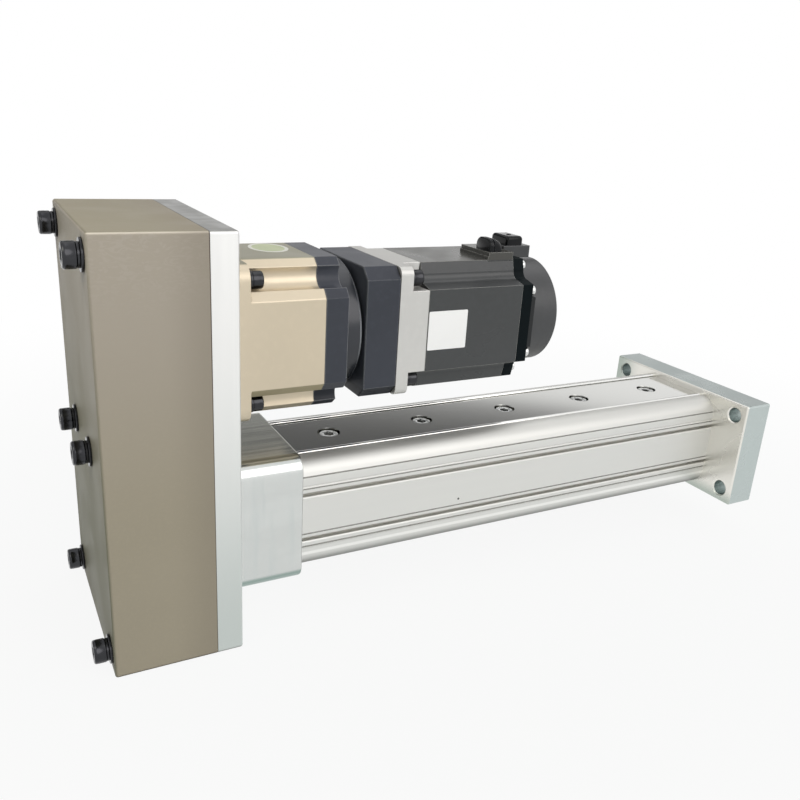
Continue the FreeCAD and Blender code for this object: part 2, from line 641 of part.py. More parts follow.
def front_flange():
    half_width, half_height = "flange_width / 2", "block_height / 2"
    outline = rectangle(f"-{half_width}", f"-{half_height}", half_width, half_height)
    blank = extruded("front_flange_blank", outline, "flange_thick", "-flange_thick")
    dress(blank, "Chamfer", "edge_chamfer", lambda e: True)
    places = square_places("mount_hole_y", "mount_hole_z")
    tools = [bar("flange_bore", "gland_r", "flange_thick", "-flange_thick")]
    rim = "mount_hole_r + mount_hole_chamfer"
    hole = [("0", "0"), ("0", rim), ("mount_hole_chamfer", "mount_hole_r"),
            ("flange_thick", "mount_hole_r"), ("flange_thick", "0")]
    tools += [turned(f"mount_hole_{i}", hole, "-flange_thick", y, z)
              for i, (y, z) in enumerate(places)]
    tools += bores("flange_hole", MID_HOLE, "flange_thick", "-flange_thick", tube_places())
    tools += bores("flange_sink", MID_SINK, TUBE_SINK, f"-{TUBE_SINK}", tube_places())
    keep("front_flange", cut("front_flange", blank, tools))
    grip = f"flange_thick - {TUBE_SINK} + flange_tap - thread_spare"
    screws = screw_set("flange_screw", "thread_mid", grip, f"-{TUBE_SINK}", tube_places(),
                       HEAD_FORWARD)
    keep_group("flange_screws", screws)


def rod_guides():
    """Bush, seal and wiper in the flange, from the inside to the outside."""
    inner = "rod_r + run"
    keep("rod_bush", turned("bush_sleeve", ring("gland_r", inner, "rod_bush"), "-flange_thick"))
    seal = turned("seal_ring", ring("gland_r", inner, "rod_seal"), "rod_bush - flange_thick")
    tip = "wiper + wiper_reach"
    lip = [("0", inner), (tip, inner), (tip, f"{inner} + wiper_tip"),
           ("wiper", f"{inner} + wiper_root"), ("wiper", "gland_r"), ("0", "gland_r")]
    wiper = turned("wiper_ring", lip, "rod_bush + rod_seal - flange_thick")
    keep_group("rod_seals", [seal, wiper])


def stroke_buffers():
    hollow = "rod_r + buffer_gap"
    rear = turned("rear_buffer", ring("bore_r", hollow, "buffer"), TUBE_X)
    front = turned("front_buffer", ring("bore_r", hollow, "buffer"), "-flange_thick - buffer")
    keep_group("stroke_buffers", [rear, front])


# Rod, piston and nut
def rail_groove(name):
    """Room for the guide rail in whatever slides along it."""
    half = "rail_width / 2 + groove_slack"
    return block(name, ("tube_length", f"2 * ({half})", "rail_width"),
                 (TUBE_X, f"-({half})", "rail_foot - groove_slack"))


def ring_seats():
    """The start and width of each piston ring's seat."""
    rear = f"{PISTON_X} + nut_flange"
    front = f"{rear} + piston_length - ring_inset - wear_ring_width"
    return {
        "rear_wear_ring": (f"{rear} + ring_inset", "wear_ring_width"),
        "front_wear_ring": (front, "wear_ring_width"),
        "magnet_ring": (f"{front} - wear_ring_width - magnet_width", "magnet_width"),
    }


def piston():
    start = f"{PISTON_X} + nut_flange"
    blank = turned("piston_blank", ring("piston_r", "rod_r", "piston_length"), start)
    tools = [rail_groove("piston_rail_groove")]
    for name, (x, width) in ring_seats().items():
        tools.append(turned(f"{name}_seat", ring("bore_r", "wear_ring_r", width), x))
    tools += bores("nut_thread", "thread_small / 2", "nut_tap", start, nut_places())
    keep("piston", cut("piston", blank, tools))
    rings = []
    for name, (x, width) in ring_seats().items():
        outer = "piston_r" if name == "magnet_ring" else "bore_r - run"
        blank = turned(f"{name}_blank", ring(outer, "wear_ring_r", width), x)
        rings.append(cut(name, blank, [rail_groove(f"{name}_rail_groove")]))
    keep_group("piston_rings", rings)


def nut_places():
    reach = f"nut_screw_r * {math.sqrt(0.5):.6f}"
    return square_places(reach, reach)


def ball_nut():
    inner = "screw_r + run"
    end = "nut_flange + nut_length"
    corners = [("0", inner), (end, inner), (end, "rod_r"), ("nut_flange", "rod_r"),
               ("nut_flange", "nut_flange_r"), ("0", "nut_flange_r")]
    blank = turned("ball_nut_blank", corners, PISTON_X)
    tools = [
        rail_groove("nut_rail_groove"),
        *bores("nut_hole", SMALL_HOLE, "nut_flange", PISTON_X, nut_places()),
        *bores("nut_head_sink", SMALL_SINK, SMALL_DEPTH, PISTON_X, nut_places()),
    ]
    keep("ball_nut", cut("ball_nut", blank, tools))
    grip = f"nut_flange - {SMALL_DEPTH} + nut_tap - thread_spare"
    under_head = f"{PISTON_X} + {SMALL_DEPTH}"
    keep_group("nut_screws", screw_set("nut_screw", "thread_small", grip, under_head, nut_places()))


def rod():
    start = f"{PISTON_X} + nut_flange + nut_length + clearance"
    length = f"rod_out - rod_end_head - ({start})"
    keep("rod_tube", turned("rod_tube", ring("rod_r", "rod_bore_r", length), start))
    ease = "edge_chamfer"
    spigot = "rod_end_spigot"
    total = f"{spigot} + rod_end_head"
    mouth = f"{total} - rod_thread_depth"
    corners = [
        ("0", "0"), ("0", "rod_bore_r"), (spigot, "rod_bore_r"), (spigot, "rod_r"),
        (f"{total} - {ease}", "rod_r"), (total, f"rod_r - {ease}"), (total, "rod_thread_r"),
        (mouth, "rod_thread_r"), (f"{mouth} - drill_point", "0"),
    ]
    blank = turned("rod_end_blank", corners, f"rod_out - ({total})")
    # two flats for a spanner
    flat_x = "rod_out - rod_flat_inset - rod_flat_length"
    flats = [block(f"rod_flat_{i}", ("rod_flat_length", "rod_r", "2 * rod_r"),
                   (flat_x, f"{s} * (rod_flats + rod_r) / 2 - rod_r / 2", "-rod_r"))
             for i, s in enumerate(SIGNS)]
    keep("rod_end", cut("rod_end", blank, flats))


# Ball screw and its bearings
def ball_screw():
    seat = f"{BEARING_X} - lock_nut_length - ({PULLEY_X})"
    thick = f"{TUBE_X} - retainer_thick - ({PULLEY_X})"
    tip = f"-screw_tip - ({PULLEY_X})"
    end = f"{tip} + tip_bush_length"
    corners = [
        ("0", "0"), ("0", "screw_journal_r - shaft_ease"), ("shaft_ease", "screw_journal_r"),
        (seat, "screw_journal_r"), (seat, "screw_seat_r"), (thick, "screw_seat_r"),
        (thick, "screw_r"), (tip, "screw_r"), (tip, "tip_r"), (end, "tip_r"), (end, "0"),
    ]
    blank = turned("ball_screw_blank", corners, PULLEY_X)
    key_way = shaft_key("screw_key_way", "screw_journal_r", "0")
    keep("ball_screw", cut("ball_screw", blank, [key_way]))
    keep("screw_key", shaft_key("screw_key", "screw_journal_r", "0"))
    bush = ring("rod_bore_r - run", "tip_r", "tip_bush_length")
    keep("screw_tip_bush", turned("screw_tip_bush", bush, "-screw_tip"))
    lock_x = f"{BEARING_X} - lock_nut_length"
    lock = turned("screw_lock_nut_blank", ring("lock_nut_r", "screw_seat_r", "lock_nut_length"),
                  lock_x)
    slots = []
    for i in range(4):
        radial = (math.cos(i * math.pi / 2), math.sin(i * math.pi / 2))
        corner = [f"{c:.0f} * lock_nut_r - lock_slot / 2" for c in radial]
        slots.append(block(f"spanner_slot_{i}", ("lock_nut_length", "lock_slot", "lock_slot"),
                           (lock_x, *corner)))
    keep("screw_lock_nut", cut("screw_lock_nut", lock, slots))


def shaft_key(name, shaft_r, z):
    """Parallel key half sunk in a pulley shaft."""
    return block(name, ("key_length", "key_width", "key_width"),
                 (f"{PULLEY_X} + key_inset", "-key_width / 2", f"{z} + {shaft_r} - key_width / 2"))


BALLS_PER_ROW = 11


def screw_bearings():
    starts = [f"{BEARING_X} + {i} * bearing_width" for i in range(2)]
    rings = bearing_rings("screw_bearing", starts, "screw_seat_r", "bearing_outer_r",
                          "bearing_width", "bearing_ball_r", "0")
    keep_rings("screw_bearing", rings)
    balls = []
    pitch = "(screw_seat_r + bearing_outer_r) / 2"
    for row, start in enumerate(starts):
        for i in range(BALLS_PER_ROW):
            angle = 2 * math.pi * i / BALLS_PER_ROW
            ball = doc.addObject("Part::Sphere", f"ball_{row}_{i}")
            ball.setExpression("Radius", bound("bearing_ball_r"))
            across = [f"({pitch}) * {c:.6f}" for c in (math.cos(angle), math.sin(angle))]
            balls.append(place(ball, f"{start} + bearing_width / 2", *across))
    keep_group("screw_bearing_balls", balls)


# Toothed belt and pulleys
PULLEY_TEETH = 30
RUN_PITCHES = 14


def pulley(label, shaft_r, z):
    flange = "pulley_flange"
    corners = [
        ("0", shaft_r), (PULLEY_SPAN, shaft_r), (PULLEY_SPAN, "pulley_flange_r"),
        (f"{PULLEY_SPAN} - {flange}", "pulley_flange_r"), (f"{PULLEY_SPAN} - {flange}", "pulley_r"),
        (flange, "pulley_r"), (flange, "pulley_flange_r"), ("0", "pulley_flange_r"),
    ]
    blank = turned(f"{label}_blank", corners, PULLEY_X, z=z)
    tools = [shaft_key(f"{label}_key_way", shaft_r, z)]
    for i in range(PULLEY_TEETH):
        angle = 2 * math.pi * i / PULLEY_TEETH
        y, up = [f"tooth_centre_r * {c:.6f}" for c in (math.cos(angle), math.sin(angle))]
        tools.append(bar(f"{label}_groove_{i}", "groove_r", "pulley_width",
                         f"{PULLEY_X} + pulley_flange", y, f"{z} + {up}"))
    keep(label, cut(label, blank, tools))


def timing_belt():
    start = f"{PULLEY_X} + pulley_flange + (pulley_width - belt_width) / 2"
    band = cut("belt_band", stadium("belt_outside", "belt_outer_r", "belt_width", start),
               [stadium("belt_inside", "belt_inner_r", "belt_width", start)])
    places = []
    for i in range(PULLEY_TEETH // 2 + 1):
        angle = 2 * math.pi * i / PULLEY_TEETH
        y, up = [f"tooth_centre_r * {c:.6f}" for c in (math.cos(angle), math.sin(angle))]
        places += [(y, f"axis_offset + {up}"), (y, f"-({up})")]
    for i in range(1, RUN_PITCHES):
        places += [(f"{s} * tooth_centre_r", f"axis_offset * {i} / {RUN_PITCHES}") for s in SIGNS]
    teeth = bores("belt_tooth", "tooth_r", "belt_width", start, places)
    keep("timing_belt", fuse("timing_belt", [band, *teeth]))


# Planetary gearbox
def channelled():
    """Square section with a screw channel along each corner."""
    near, far = "gear_screw - channel_half", "gear_screw + channel_half"
    return four_fold([("gear_half", "gear_flat"), (far, near, "-channel_r"), (near, far),
                      ("gear_flat", "gear_half")])


def gearbox_housing():
    outline = with_arcs(rounded("gear_half", "gear_half", "gear_corner"), "gear_corner")
    flange = extruded("gear_flange_pad", outline, "gear_flange", GEAR_X, MOTOR_AXIS)
    step = f"{GEAR_X} + gear_flange"
    body = extruded("gear_body_pad", channelled(), "gear_body", step, MOTOR_AXIS)
    hollow = f"gear_flange + gear_body - ({BEARING_ROOM})"
    tools = [
        bar("gear_seat", "gear_bearing_r", BEARING_ROOM, GEAR_X, z=MOTOR_AXIS),
        bar("gear_hollow", "carrier_r + clearance", hollow, f"{GEAR_X} + {BEARING_ROOM}",
            z=MOTOR_AXIS),
        *bores("gear_flange_hole", MID_HOLE, "gear_flange", GEAR_X, gear_places()),
    ]
    blank = fuse("gearbox_housing_blank", [flange, body])
    keep("gearbox_housing", cut("gearbox_housing", blank, tools))
    keep_washed_screws("gearbox", "gear_flange + plate_thick - blind_floor - thread_spare", step,
                       gear_places())
    seal = ring("gear_bearing_r", "carrier_shaft_r + run", "seal_width")
    keep("gearbox_seal", turned("gearbox_seal", seal, GEAR_X, z=MOTOR_AXIS))
    first = f"{GEAR_X} + seal_width + end_gap / 2"
    starts = [f"{first} + {i} * (gear_bearing_width + gear_spacer)" for i in range(2)]
    rings = bearing_rings("gearbox_bearing", starts, "carrier_shaft_r", "gear_bearing_r",
                          "gear_bearing_width", "gear_ball_r", MOTOR_AXIS)
    keep_rings("gearbox_bearing", rings)


def add_teeth(body, name, count, corners, length):
    """One tooth, padded and repeated round the body's X axis."""
    sketch = new_sketch(body, f"{name}_tooth_section", "YZ_Plane")
    draw(sketch, corners)
    tooth = pad(body, f"{name}_tooth", sketch, length)
    doc.recompute()
    pattern = body.newObject("PartDesign::PolarPattern", f"{name}_teeth")
    pattern.Originals = [tooth]
    pattern.Axis = (next(o for o in body.Origin.OriginFeatures if o.Role == "X_Axis"), [""])
    pattern.Angle = 360
    pattern.setExpression("Occurrences", bound(count))
    body.Tip = pattern
    return body


def tooth(root, tip):
    """A straight-flanked tooth on +Y, reaching from its root radius to its tip radius."""
    return [(root, "-tooth_root_half"), (tip, "-tooth_tip_half"),
            (tip, "tooth_tip_half"), (root, "tooth_root_half")]


def gear(name, teeth, x, y="0", z="0"):
    """External spur gear with one tooth on its own +Y."""
    body = doc.addObject("PartDesign::Body", name)
    pitch = f"{teeth} * gear_module / 2"
    sketch = new_sketch(body, f"{name}_root", "YZ_Plane")
    draw_circle(sketch, f"{pitch} - dedendum")
    pad(body, f"{name}_disc", sketch, "gear_width")
    # the flank carries on a little below the root circle, so that tooth and disc are one solid
    flank = tooth(f"{pitch} - dedendum - tooth_sink", f"{pitch} + addendum")
    add_teeth(body, name, teeth, flank, "gear_width")
    return place(body, x, y, z)


def gearbox_ring():
    root = "ring_teeth * gear_module / 2 + dedendum"
    body = extruded("gearbox_ring", channelled(), "gear_ring", RING_X, MOTOR_AXIS, hole=root)
    tip = "ring_teeth * gear_module / 2 - addendum"
    doc.recompute()
    flank = list(reversed(tooth(f"{root} + tooth_sink", tip)))
    keep("gearbox_ring", add_teeth(body, "gearbox_ring", "ring_teeth", flank, "gear_ring"))


def gearbox_input_cover():
    ease = "disc_chamfer"
    rim = "gear_disc - disc_neck"
    corners = [
        ("0", "hub_bore_r"), ("gear_disc", "hub_bore_r"), ("gear_disc", "disc_neck_r"),
        (rim, "disc_neck_r"), (rim, f"disc_r - {ease}"), (f"{rim} - {ease}", "disc_r"),
        ("0", "disc_r"),
    ]
    blank = turned("input_cover_blank", corners, DISC_X, z=MOTOR_AXIS)
    taps = bores("input_cover_tap", "thread_small / 2", "adapter_tap",
                 f"{ADAPTER_X} - adapter_tap", adapter_places())
    keep("gearbox_input_cover", cut("gearbox_input_cover", blank, taps))


def planet_places():
    """The three planet centres, seen along X: one on top and the others a third of a turn round."""
    angles = [math.radians(a) for a in (90, 210, 330)]
    return [(a, f"planet_orbit * {math.cos(a):.6f}", f"planet_orbit * {math.sin(a):.6f}")
            for a in angles]


def planet_carrier():
    shaft = f"{GEAR_X} - ({PULLEY_X})"
    disc = f"{shaft} + {BEARING_ROOM} + end_gap"
    face = f"{RING_X} - end_gap - ({PULLEY_X})"
    corners = [
        ("0", "0"), ("0", "output_r - shaft_ease"), ("shaft_ease", "output_r"),
        (shaft, "output_r"), (shaft, "carrier_shaft_r"), (disc, "carrier_shaft_r"),
        (disc, "carrier_r"), (face, "carrier_r"), (face, "0"),
    ]
    blank = turned("planet_carrier_blank", corners, PULLEY_X, z=MOTOR_AXIS)
    pin_start = f"{RING_X} - end_gap - pin_depth"
    places = [(y, f"axis_offset + {z}") for _, y, z in planet_places()]
    tools = bores("pin_hole", "pin_r", "pin_depth", pin_start, places)
    tools.append(shaft_key("carrier_key_way", "output_r", MOTOR_AXIS))
    pins = bores("planet_pin", "pin_r", "pin_depth + gear_ring", pin_start, places)
    keep_group("planet_carrier", [cut("carrier_body", blank, tools), *pins])
    keep("drive_key", shaft_key("drive_key", "output_r", MOTOR_AXIS))


def planets():
    start = GEAR_TEETH_X
    for i, (angle, y, z) in enumerate(planet_places(), start=1):
        height = f"axis_offset + {z}"
        blank = gear(f"planet_gear_{i}_blank", "planet_teeth", start, y, height)
        # one tooth points at the sun
        facing = math.degrees(angle) + 180
        blank.Placement.Rotation = FreeCAD.Rotation(FreeCAD.Vector(1, 0, 0), facing)
        hole = bar(f"planet_bore_{i}", "pin_r + run", "gear_width", start, y, height)
        keep(f"planet_gear_{i}", cut(f"planet_gear_{i}", blank, [hole]))


def sun_gear():
    """Sun gear with a slit hub that clamps on the motor shaft."""
    teeth = gear("sun_teeth_body", "sun_teeth", GEAR_TEETH_X, z=MOTOR_AXIS)
    neck_end = "gear_width + sun_neck"
    end = f"{neck_end} + hub_length"
    corners = [("0", "0"), ("0", "sun_neck_r"), (neck_end, "sun_neck_r"), (neck_end, "hub_r"),
               (end, "hub_r"), (end, "0")]
    hub = turned("sun_hub_body", corners, GEAR_TEETH_X, z=MOTOR_AXIS)
    hub_x = f"{GEAR_TEETH_X} + {neck_end}"
    bore = bar("hub_bore", "motor_shaft_r", "hub_length", f"{hub_x} + hub_floor", z=MOTOR_AXIS)
    slit = block("hub_slot", ("hub_length", "hub_slit", "hub_r"),
                 (f"{hub_x} + hub_slit_start", "-hub_slit / 2", "axis_offset"))
    keep("sun_gear", cut("sun_gear", fuse("sun_gear_blank", [teeth, hub]), [bore, slit]))


# Motor adapter and motor
def adapter_places():
    return square_places("adapter_screw", "adapter_screw", MOTOR_AXIS)


def motor_places():
    return square_places("motor_screw", "motor_screw", MOTOR_AXIS)


def motor_adapter():
    outline = rounded("motor_half", "motor_half", "adapter_corner")
    blank = extruded("motor_adapter_blank", outline, "adapter_length", ADAPTER_X, MOTOR_AXIS)
    dress(blank, "Chamfer", "edge_chamfer / 2", lies_across)
    recess = "(pilot_depth + pilot_slack)"
    floor = f"{MOTOR_X} - {recess}"
    under_head = f"{floor} - {SMALL_DEPTH}"
    tools = [
        bar("adapter_bore", "hub_bore_r", "adapter_length", ADAPTER_X, z=MOTOR_AXIS),
        bar("adapter_pilot", "pilot_r", recess, floor, z=MOTOR_AXIS),
        *bores("adapter_hole", SMALL_HOLE, "adapter_length", ADAPTER_X, adapter_places()),
        *bores("adapter_sink", SMALL_SINK, SMALL_DEPTH, under_head, adapter_places()),
        *bores("adapter_thread", "thread_mid / 2", "motor_tap", f"{MOTOR_X} - motor_tap",
               motor_places()),
    ]
    keep("motor_adapter", cut("motor_adapter", blank, tools))
    grip = f"adapter_length - {recess} - {SMALL_DEPTH} + adapter_tap - thread_spare"
    screws = screw_set("adapter_bolt", "thread_small", grip, under_head, adapter_places(),
                       HEAD_FORWARD)
    keep_group("adapter_screws", screws)


def motor_flange():
    base_outline = with_arcs(rounded("motor_half", "motor_half", "motor_corner"), "motor_corner")
    base = extruded("motor_flange_base_pad", base_outline, "motor_flange_base", MOTOR_X, MOTOR_AXIS)
    cross = four_fold([("motor_half", "motor_notch"), ("motor_notch", "motor_notch"),
                       ("motor_notch", "motor_half")])
    step = f"{MOTOR_X} + motor_flange_base"
    raised = extruded("motor_flange_raised", cross, "motor_flange - motor_flange_base", step,
                      MOTOR_AXIS)
    face = f"{MOTOR_X} - pilot_depth"
    pilot = bar("motor_pilot", "pilot_r", "pilot_depth", face, z=MOTOR_AXIS)
    tools = [
        bar("motor_shaft_hole", "motor_seat_r + clearance", "motor_flange + pilot_depth", face,
            z=MOTOR_AXIS),
        bar("front_bearing_seat", "front_bearing_r", FRONT_SEAT, f"{MOTOR_BODY_X} - {FRONT_SEAT}",
            z=MOTOR_AXIS),
        *bores("motor_flange_hole", MID_HOLE, "motor_flange_base", MOTOR_X, motor_places()),
    ]
    blank = fuse("motor_flange_blank", [base, raised, pilot])
    keep("motor_flange", cut("motor_flange", blank, tools))
    keep_washed_screws("motor", "motor_flange_base + motor_tap - thread_spare", step, motor_places())


def motor_section():
    """Square section with a rounded notch along each corner."""
    return four_fold([("motor_half", "motor_flat"), ("notch_shelf", "notch_wall", "-notch_arc"),
                      ("notch_wall", "notch_shelf"), ("motor_flat", "motor_half")])


def motor_body():
    blank = extruded("motor_body_blank", motor_section(), "motor_body", MOTOR_BODY_X, MOTOR_AXIS)
    width = "power_near + power_far"
    foot = "axis_offset + motor_half - platform_sink"
    platform = block("power_platform", ("power_length", width, "power_rise + platform_sink"),
                     (POWER_X, "-power_near", foot))
    ledge = block("platform_ledge", ("ledge_length", width, "ledge_rise + platform_sink"),
                  (f"{POWER_X} - ledge_length", "-power_near", foot))
    hollow = bar("motor_hollow", "stator_r", "motor_body", MOTOR_BODY_X, z=MOTOR_AXIS)
    keep("motor_body", cut("motor_body", fuse("motor_body_raised", [blank, platform, ledge]), [hollow]))


STATOR_SLOTS = 12


def stator_bar(name, width, start, turn):
    """A bar along X that stands in the stator, turned to its place round the axis."""
    item = block(name, ("stator_length", width, "slot_height"), (start, "0", "0"))
    radial = turn.multVec(FreeCAD.Vector(0, 0, 1))
    side = turn.multVec(FreeCAD.Vector(0, -1, 0))
    y, z = [f"(stator_bore_r + stator_lip) * {r:.6f} + {width} / 2 * {d:.6f}"
            for r, d in zip(radial[1:], side[1:])]
    return place(item, start, y, f"axis_offset + {z}", turn)


def stator():
    """Laminated core with a coil in each slot."""
    start = f"{MOTOR_BODY_X} + stator_gap"
    corners = ring("stator_r", "stator_bore_r", "stator_length")
    core = turned("stator_core", corners, start, z=MOTOR_AXIS)
    slots, coils = [], []
    for i in range(STATOR_SLOTS):
        turn = FreeCAD.Rotation(FreeCAD.Vector(1, 0, 0), 360 * i / STATOR_SLOTS)
        slots.append(stator_bar(f"stator_slot_{i}", "stator_slot", start, turn))
        coils.append(stator_bar(f"stator_coil_{i}", "coil_width", start, turn))
    keep_group("stator", [cut("stator_slotted", core, slots), *coils])


def rotor():
    front = f"{GEAR_TEETH_X} + gear_width + sun_neck + hub_floor + end_gap"
    seat = f"{MOTOR_BODY_X} - {FRONT_SEAT} - ({front})"
    core = f"{MOTOR_BODY_X} - end_gap - ({front})"
    rear = f"{REAR_X} - end_gap - ({front})"
    tail = f"{REAR_X} + rear_bearing_width + end_gap / 2 - ({front})"
    end = f"{tail} + encoder_shaft"
    corners = [
        ("0", "0"), ("0", "motor_shaft_r"), (seat, "motor_shaft_r"), (seat, "motor_seat_r"),
        (core, "motor_seat_r"), (core, "motor_core_r"), (rear, "motor_core_r"),
        (rear, "rear_seat_r"), (tail, "rear_seat_r"), (tail, "encoder_shaft_r"),
        (end, "encoder_shaft_r"), (end, "0"),
    ]
    keep("motor_shaft", turned("motor_shaft", corners, front, z=MOTOR_AXIS))
    magnets = ring("stator_bore_r - air_gap", "motor_core_r", "stator_length")
    magnets_x = f"{MOTOR_BODY_X} + stator_gap"
    keep("rotor_magnets", turned("rotor_magnets", magnets, magnets_x, z=MOTOR_AXIS))
    disc = ring("encoder_disc_r", "encoder_shaft_r", "encoder_disc")
    disc_x = f"{CAP_X} + encoder_stand"
    keep("encoder_disc", turned("encoder_wheel", disc, disc_x, z=MOTOR_AXIS))
    front_start = f"{MOTOR_BODY_X} - front_bearing_width - end_gap"
    front_rings = bearing_rings("front_bearing", [front_start], "motor_seat_r", "front_bearing_r",
                                "front_bearing_width", "motor_ball_r", MOTOR_AXIS)
    rear_rings = bearing_rings("rear_bearing", [REAR_X], "rear_seat_r", "rear_bearing_r",
                               "rear_bearing_width", "motor_ball_r", MOTOR_AXIS)
    keep_rings("motor_bearing", {side: front_rings[side] + rear_rings[side] for side in front_rings})


def rear_places():
    """Two small screws at each corner notch, one on either side of it."""
    sides = square_places("rear_screw_out", "rear_screw_side", MOTOR_AXIS)
    return sides + square_places("rear_screw_side", "rear_screw_out", MOTOR_AXIS)


def rear_plate():
    """Rear bearing plate with the body's section, and a smaller layer behind between its screws."""
    thick = "rear_plate - rear_step"
    base = extruded("rear_plate_base", motor_section(), thick, REAR_X, MOTOR_AXIS)
    layer = four_fold([
        ("motor_half - rear_inset", "layer_side"), ("layer_corner", "layer_side"),
        ("layer_side", "layer_corner"), ("layer_side", "motor_half - rear_inset"),
    ])
    seat = f"{REAR_X} + {thick}"
    step = extruded("rear_plate_step", layer, "rear_step", seat, MOTOR_AXIS)
    tools = [
        bar("rear_bearing_seat", "rear_bearing_r", "rear_bearing_width", REAR_X, z=MOTOR_AXIS),
        bar("rear_shaft_hole", "rear_seat_r + clearance", "rear_plate", REAR_X, z=MOTOR_AXIS),
        *bores("rear_hole", "thread_tiny / 2", thick, REAR_X, rear_places()),
    ]
    keep("rear_plate", cut("rear_plate_drilled", fuse("rear_plate_blank", [base, step]), tools))
    screws = screw_set("rear_screw", "thread_tiny", thick, seat, rear_places(), HEAD_FORWARD)
    keep_group("rear_screws", screws)


def encoder_cover():
    inside = "cap_r - cap_wall"
    floor = "cap_length - cap_wall"
    corners = [
        ("0", inside), ("0", "cap_r"), ("cap_length - cap_ease", "cap_r"),
        ("cap_length", "cap_r - cap_ease"), ("cap_length", "0"), (floor, "0"), (floor, inside),
    ]
    keep("encoder_cover", turned("encoder_cover", corners, CAP_X, z=MOTOR_AXIS))


def plug(label, x, y, z):
    """Plug with its upper edges bevelled, set in from the corner of what it stands on."""
    size = (f"{label}_length", f"{label}_width", f"{label}_height")
    body = block(f"{label}_body", size, (f"{x} + {label}_x", f"{y} + {label}_y", z))
    eased = doc.addObject("Part::Chamfer", label)
    eased.Base = body
    doc.recompute()
    top = body.Shape.BoundBox.ZMax
    bevel = value("plug_bevel")
    eased.Edges = [(i, bevel, bevel) for i, edge in enumerate(body.Shape.Edges, start=1)
                   if abs(edge.BoundBox.ZMin - top) < 1e-6]
    keep(label, eased)


def connectors():
    """The signal socket on the rear plate's roof, and the plugs on it and on the power platform."""
    roof = "axis_offset + motor_half"
    signal_x = f"{POWER_X} + power_length + socket_gap"
    signal_width = "signal_near + signal_far"
    base = block("signal_base", ("signal_length", signal_width, "signal_rise"),
                 (signal_x, "-signal_near", roof))
    skirt_x = f"{REAR_X} + rear_plate - rear_step"
    skirt_length = f"{signal_x} + signal_length - ({skirt_x})"
    skirt = block("signal_skirt_block", (skirt_length, signal_width, "signal_skirt"),
                  (skirt_x, "-signal_near", f"{roof} - signal_skirt"))
    keep("signal_socket", fuse("signal_socket", [base, skirt]))
    plug("power_plug", POWER_X, "-power_near", f"{roof} + power_rise")
    plug("signal_plug", signal_x, "-signal_near", f"{roof} + signal_rise")


drive_cover()
mount_plate()
bearing_block()
block_screws()
bearing_retainer()
cylinder_tube()
guide_rail()
front_flange()
rod_guides()
stroke_buffers()
piston()
ball_nut()
rod()
ball_screw()
screw_bearings()
pulley("driven_pulley", "screw_journal_r", "0")
pulley("drive_pulley", "output_r", MOTOR_AXIS)
timing_belt()
gearbox_housing()
gearbox_ring()
gearbox_input_cover()
planet_carrier()
planets()
sun_gear()
motor_adapter()
motor_flange()
motor_body()
stator()
rotor()
rear_plate()
encoder_cover()
connectors()
doc.recompute()

for item in doc.Objects:
    faults = {"Invalid", "Error"} & set(item.State)
    if faults:
        raise RuntimeError(f"{item.Name} failed to build: {faults}")
for label, item in nodes.items():
    if item.Shape.isNull() or not item.Shape.isValid():
        raise RuntimeError(f"{label} has no valid shape")

os.makedirs("parts", exist_ok=True)
for label, item in nodes.items():
    item.Shape.exportStep(f"parts/{label}.step")
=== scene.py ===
import json
import math

import bmesh
import bpy
from mathutils import Matrix, Vector


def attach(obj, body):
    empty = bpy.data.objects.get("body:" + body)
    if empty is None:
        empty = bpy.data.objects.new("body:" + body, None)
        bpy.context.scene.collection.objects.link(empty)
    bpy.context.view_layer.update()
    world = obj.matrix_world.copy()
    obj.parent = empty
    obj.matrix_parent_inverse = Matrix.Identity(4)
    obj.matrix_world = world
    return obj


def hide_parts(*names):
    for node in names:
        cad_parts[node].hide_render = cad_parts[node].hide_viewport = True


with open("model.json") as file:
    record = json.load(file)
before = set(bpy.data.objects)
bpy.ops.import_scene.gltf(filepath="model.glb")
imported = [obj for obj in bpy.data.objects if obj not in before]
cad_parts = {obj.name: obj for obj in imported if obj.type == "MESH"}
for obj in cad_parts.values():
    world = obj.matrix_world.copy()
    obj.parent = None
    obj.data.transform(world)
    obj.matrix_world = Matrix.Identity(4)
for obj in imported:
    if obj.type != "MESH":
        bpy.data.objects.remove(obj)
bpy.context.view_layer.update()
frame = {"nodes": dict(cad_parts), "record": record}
nodes = frame["nodes"]
scene = bpy.context.scene

MM = 0.001
MICRON = 0.000001
SIGNS = (-1, 1)
WHITE = (1.0, 1.0, 1.0)

# Places in the shared frame, in mm: X runs along the rod, Y away from the near side, Z up.
FLOOR_Z = -64.5
MOTOR_Z = 112.0
COVER_SEAT_X = -491.0
GEARBOX_SEAT_X = -407.0
MOTOR_SEAT_X = -305.5
REAR_SEAT_X = -217.0
FLANGE_SEAT_X = -7.0
RAIL_SEAT_Z = 32.2
RAIL_TIP_Z = 23.0
GEARBOX_TOP_Z = 157.0
MOTOR_NEAR_Y = -40.0

# The camera that was solved from the photograph: lens and sensor in mm, angles in degrees.
SENSOR_WIDTH, LENS, CLIP_START = 36.0, 36.513, 0.01
CAMERA_PLACE = (-539.64, -455.40, 238.08)
CAMERA_TURN, CAMERA_LIFT, CAMERA_ROLL = -28.919, 19.581, 3.542

# Name, place, target, size (all in metres), power and colour.
LAMP_TARGET = (-0.25, 0.0, 0.05)
LAMPS = (
    ("key", (0.35, -1.6, 1.15), LAMP_TARGET, 1.7, 12.8, (1.0, 0.965, 0.955)),
    ("side", (-0.68, -0.14, 0.38), (-0.49, 0.0, 0.15), 0.2, 0.3, (1.0, 0.97, 0.8)),
    ("top", (0.3, 0.3, 1.6), LAMP_TARGET, 1.2, 2.0, WHITE),
)
FLOOR_RADIUS, FLOOR_STEPS = 6.0, 96

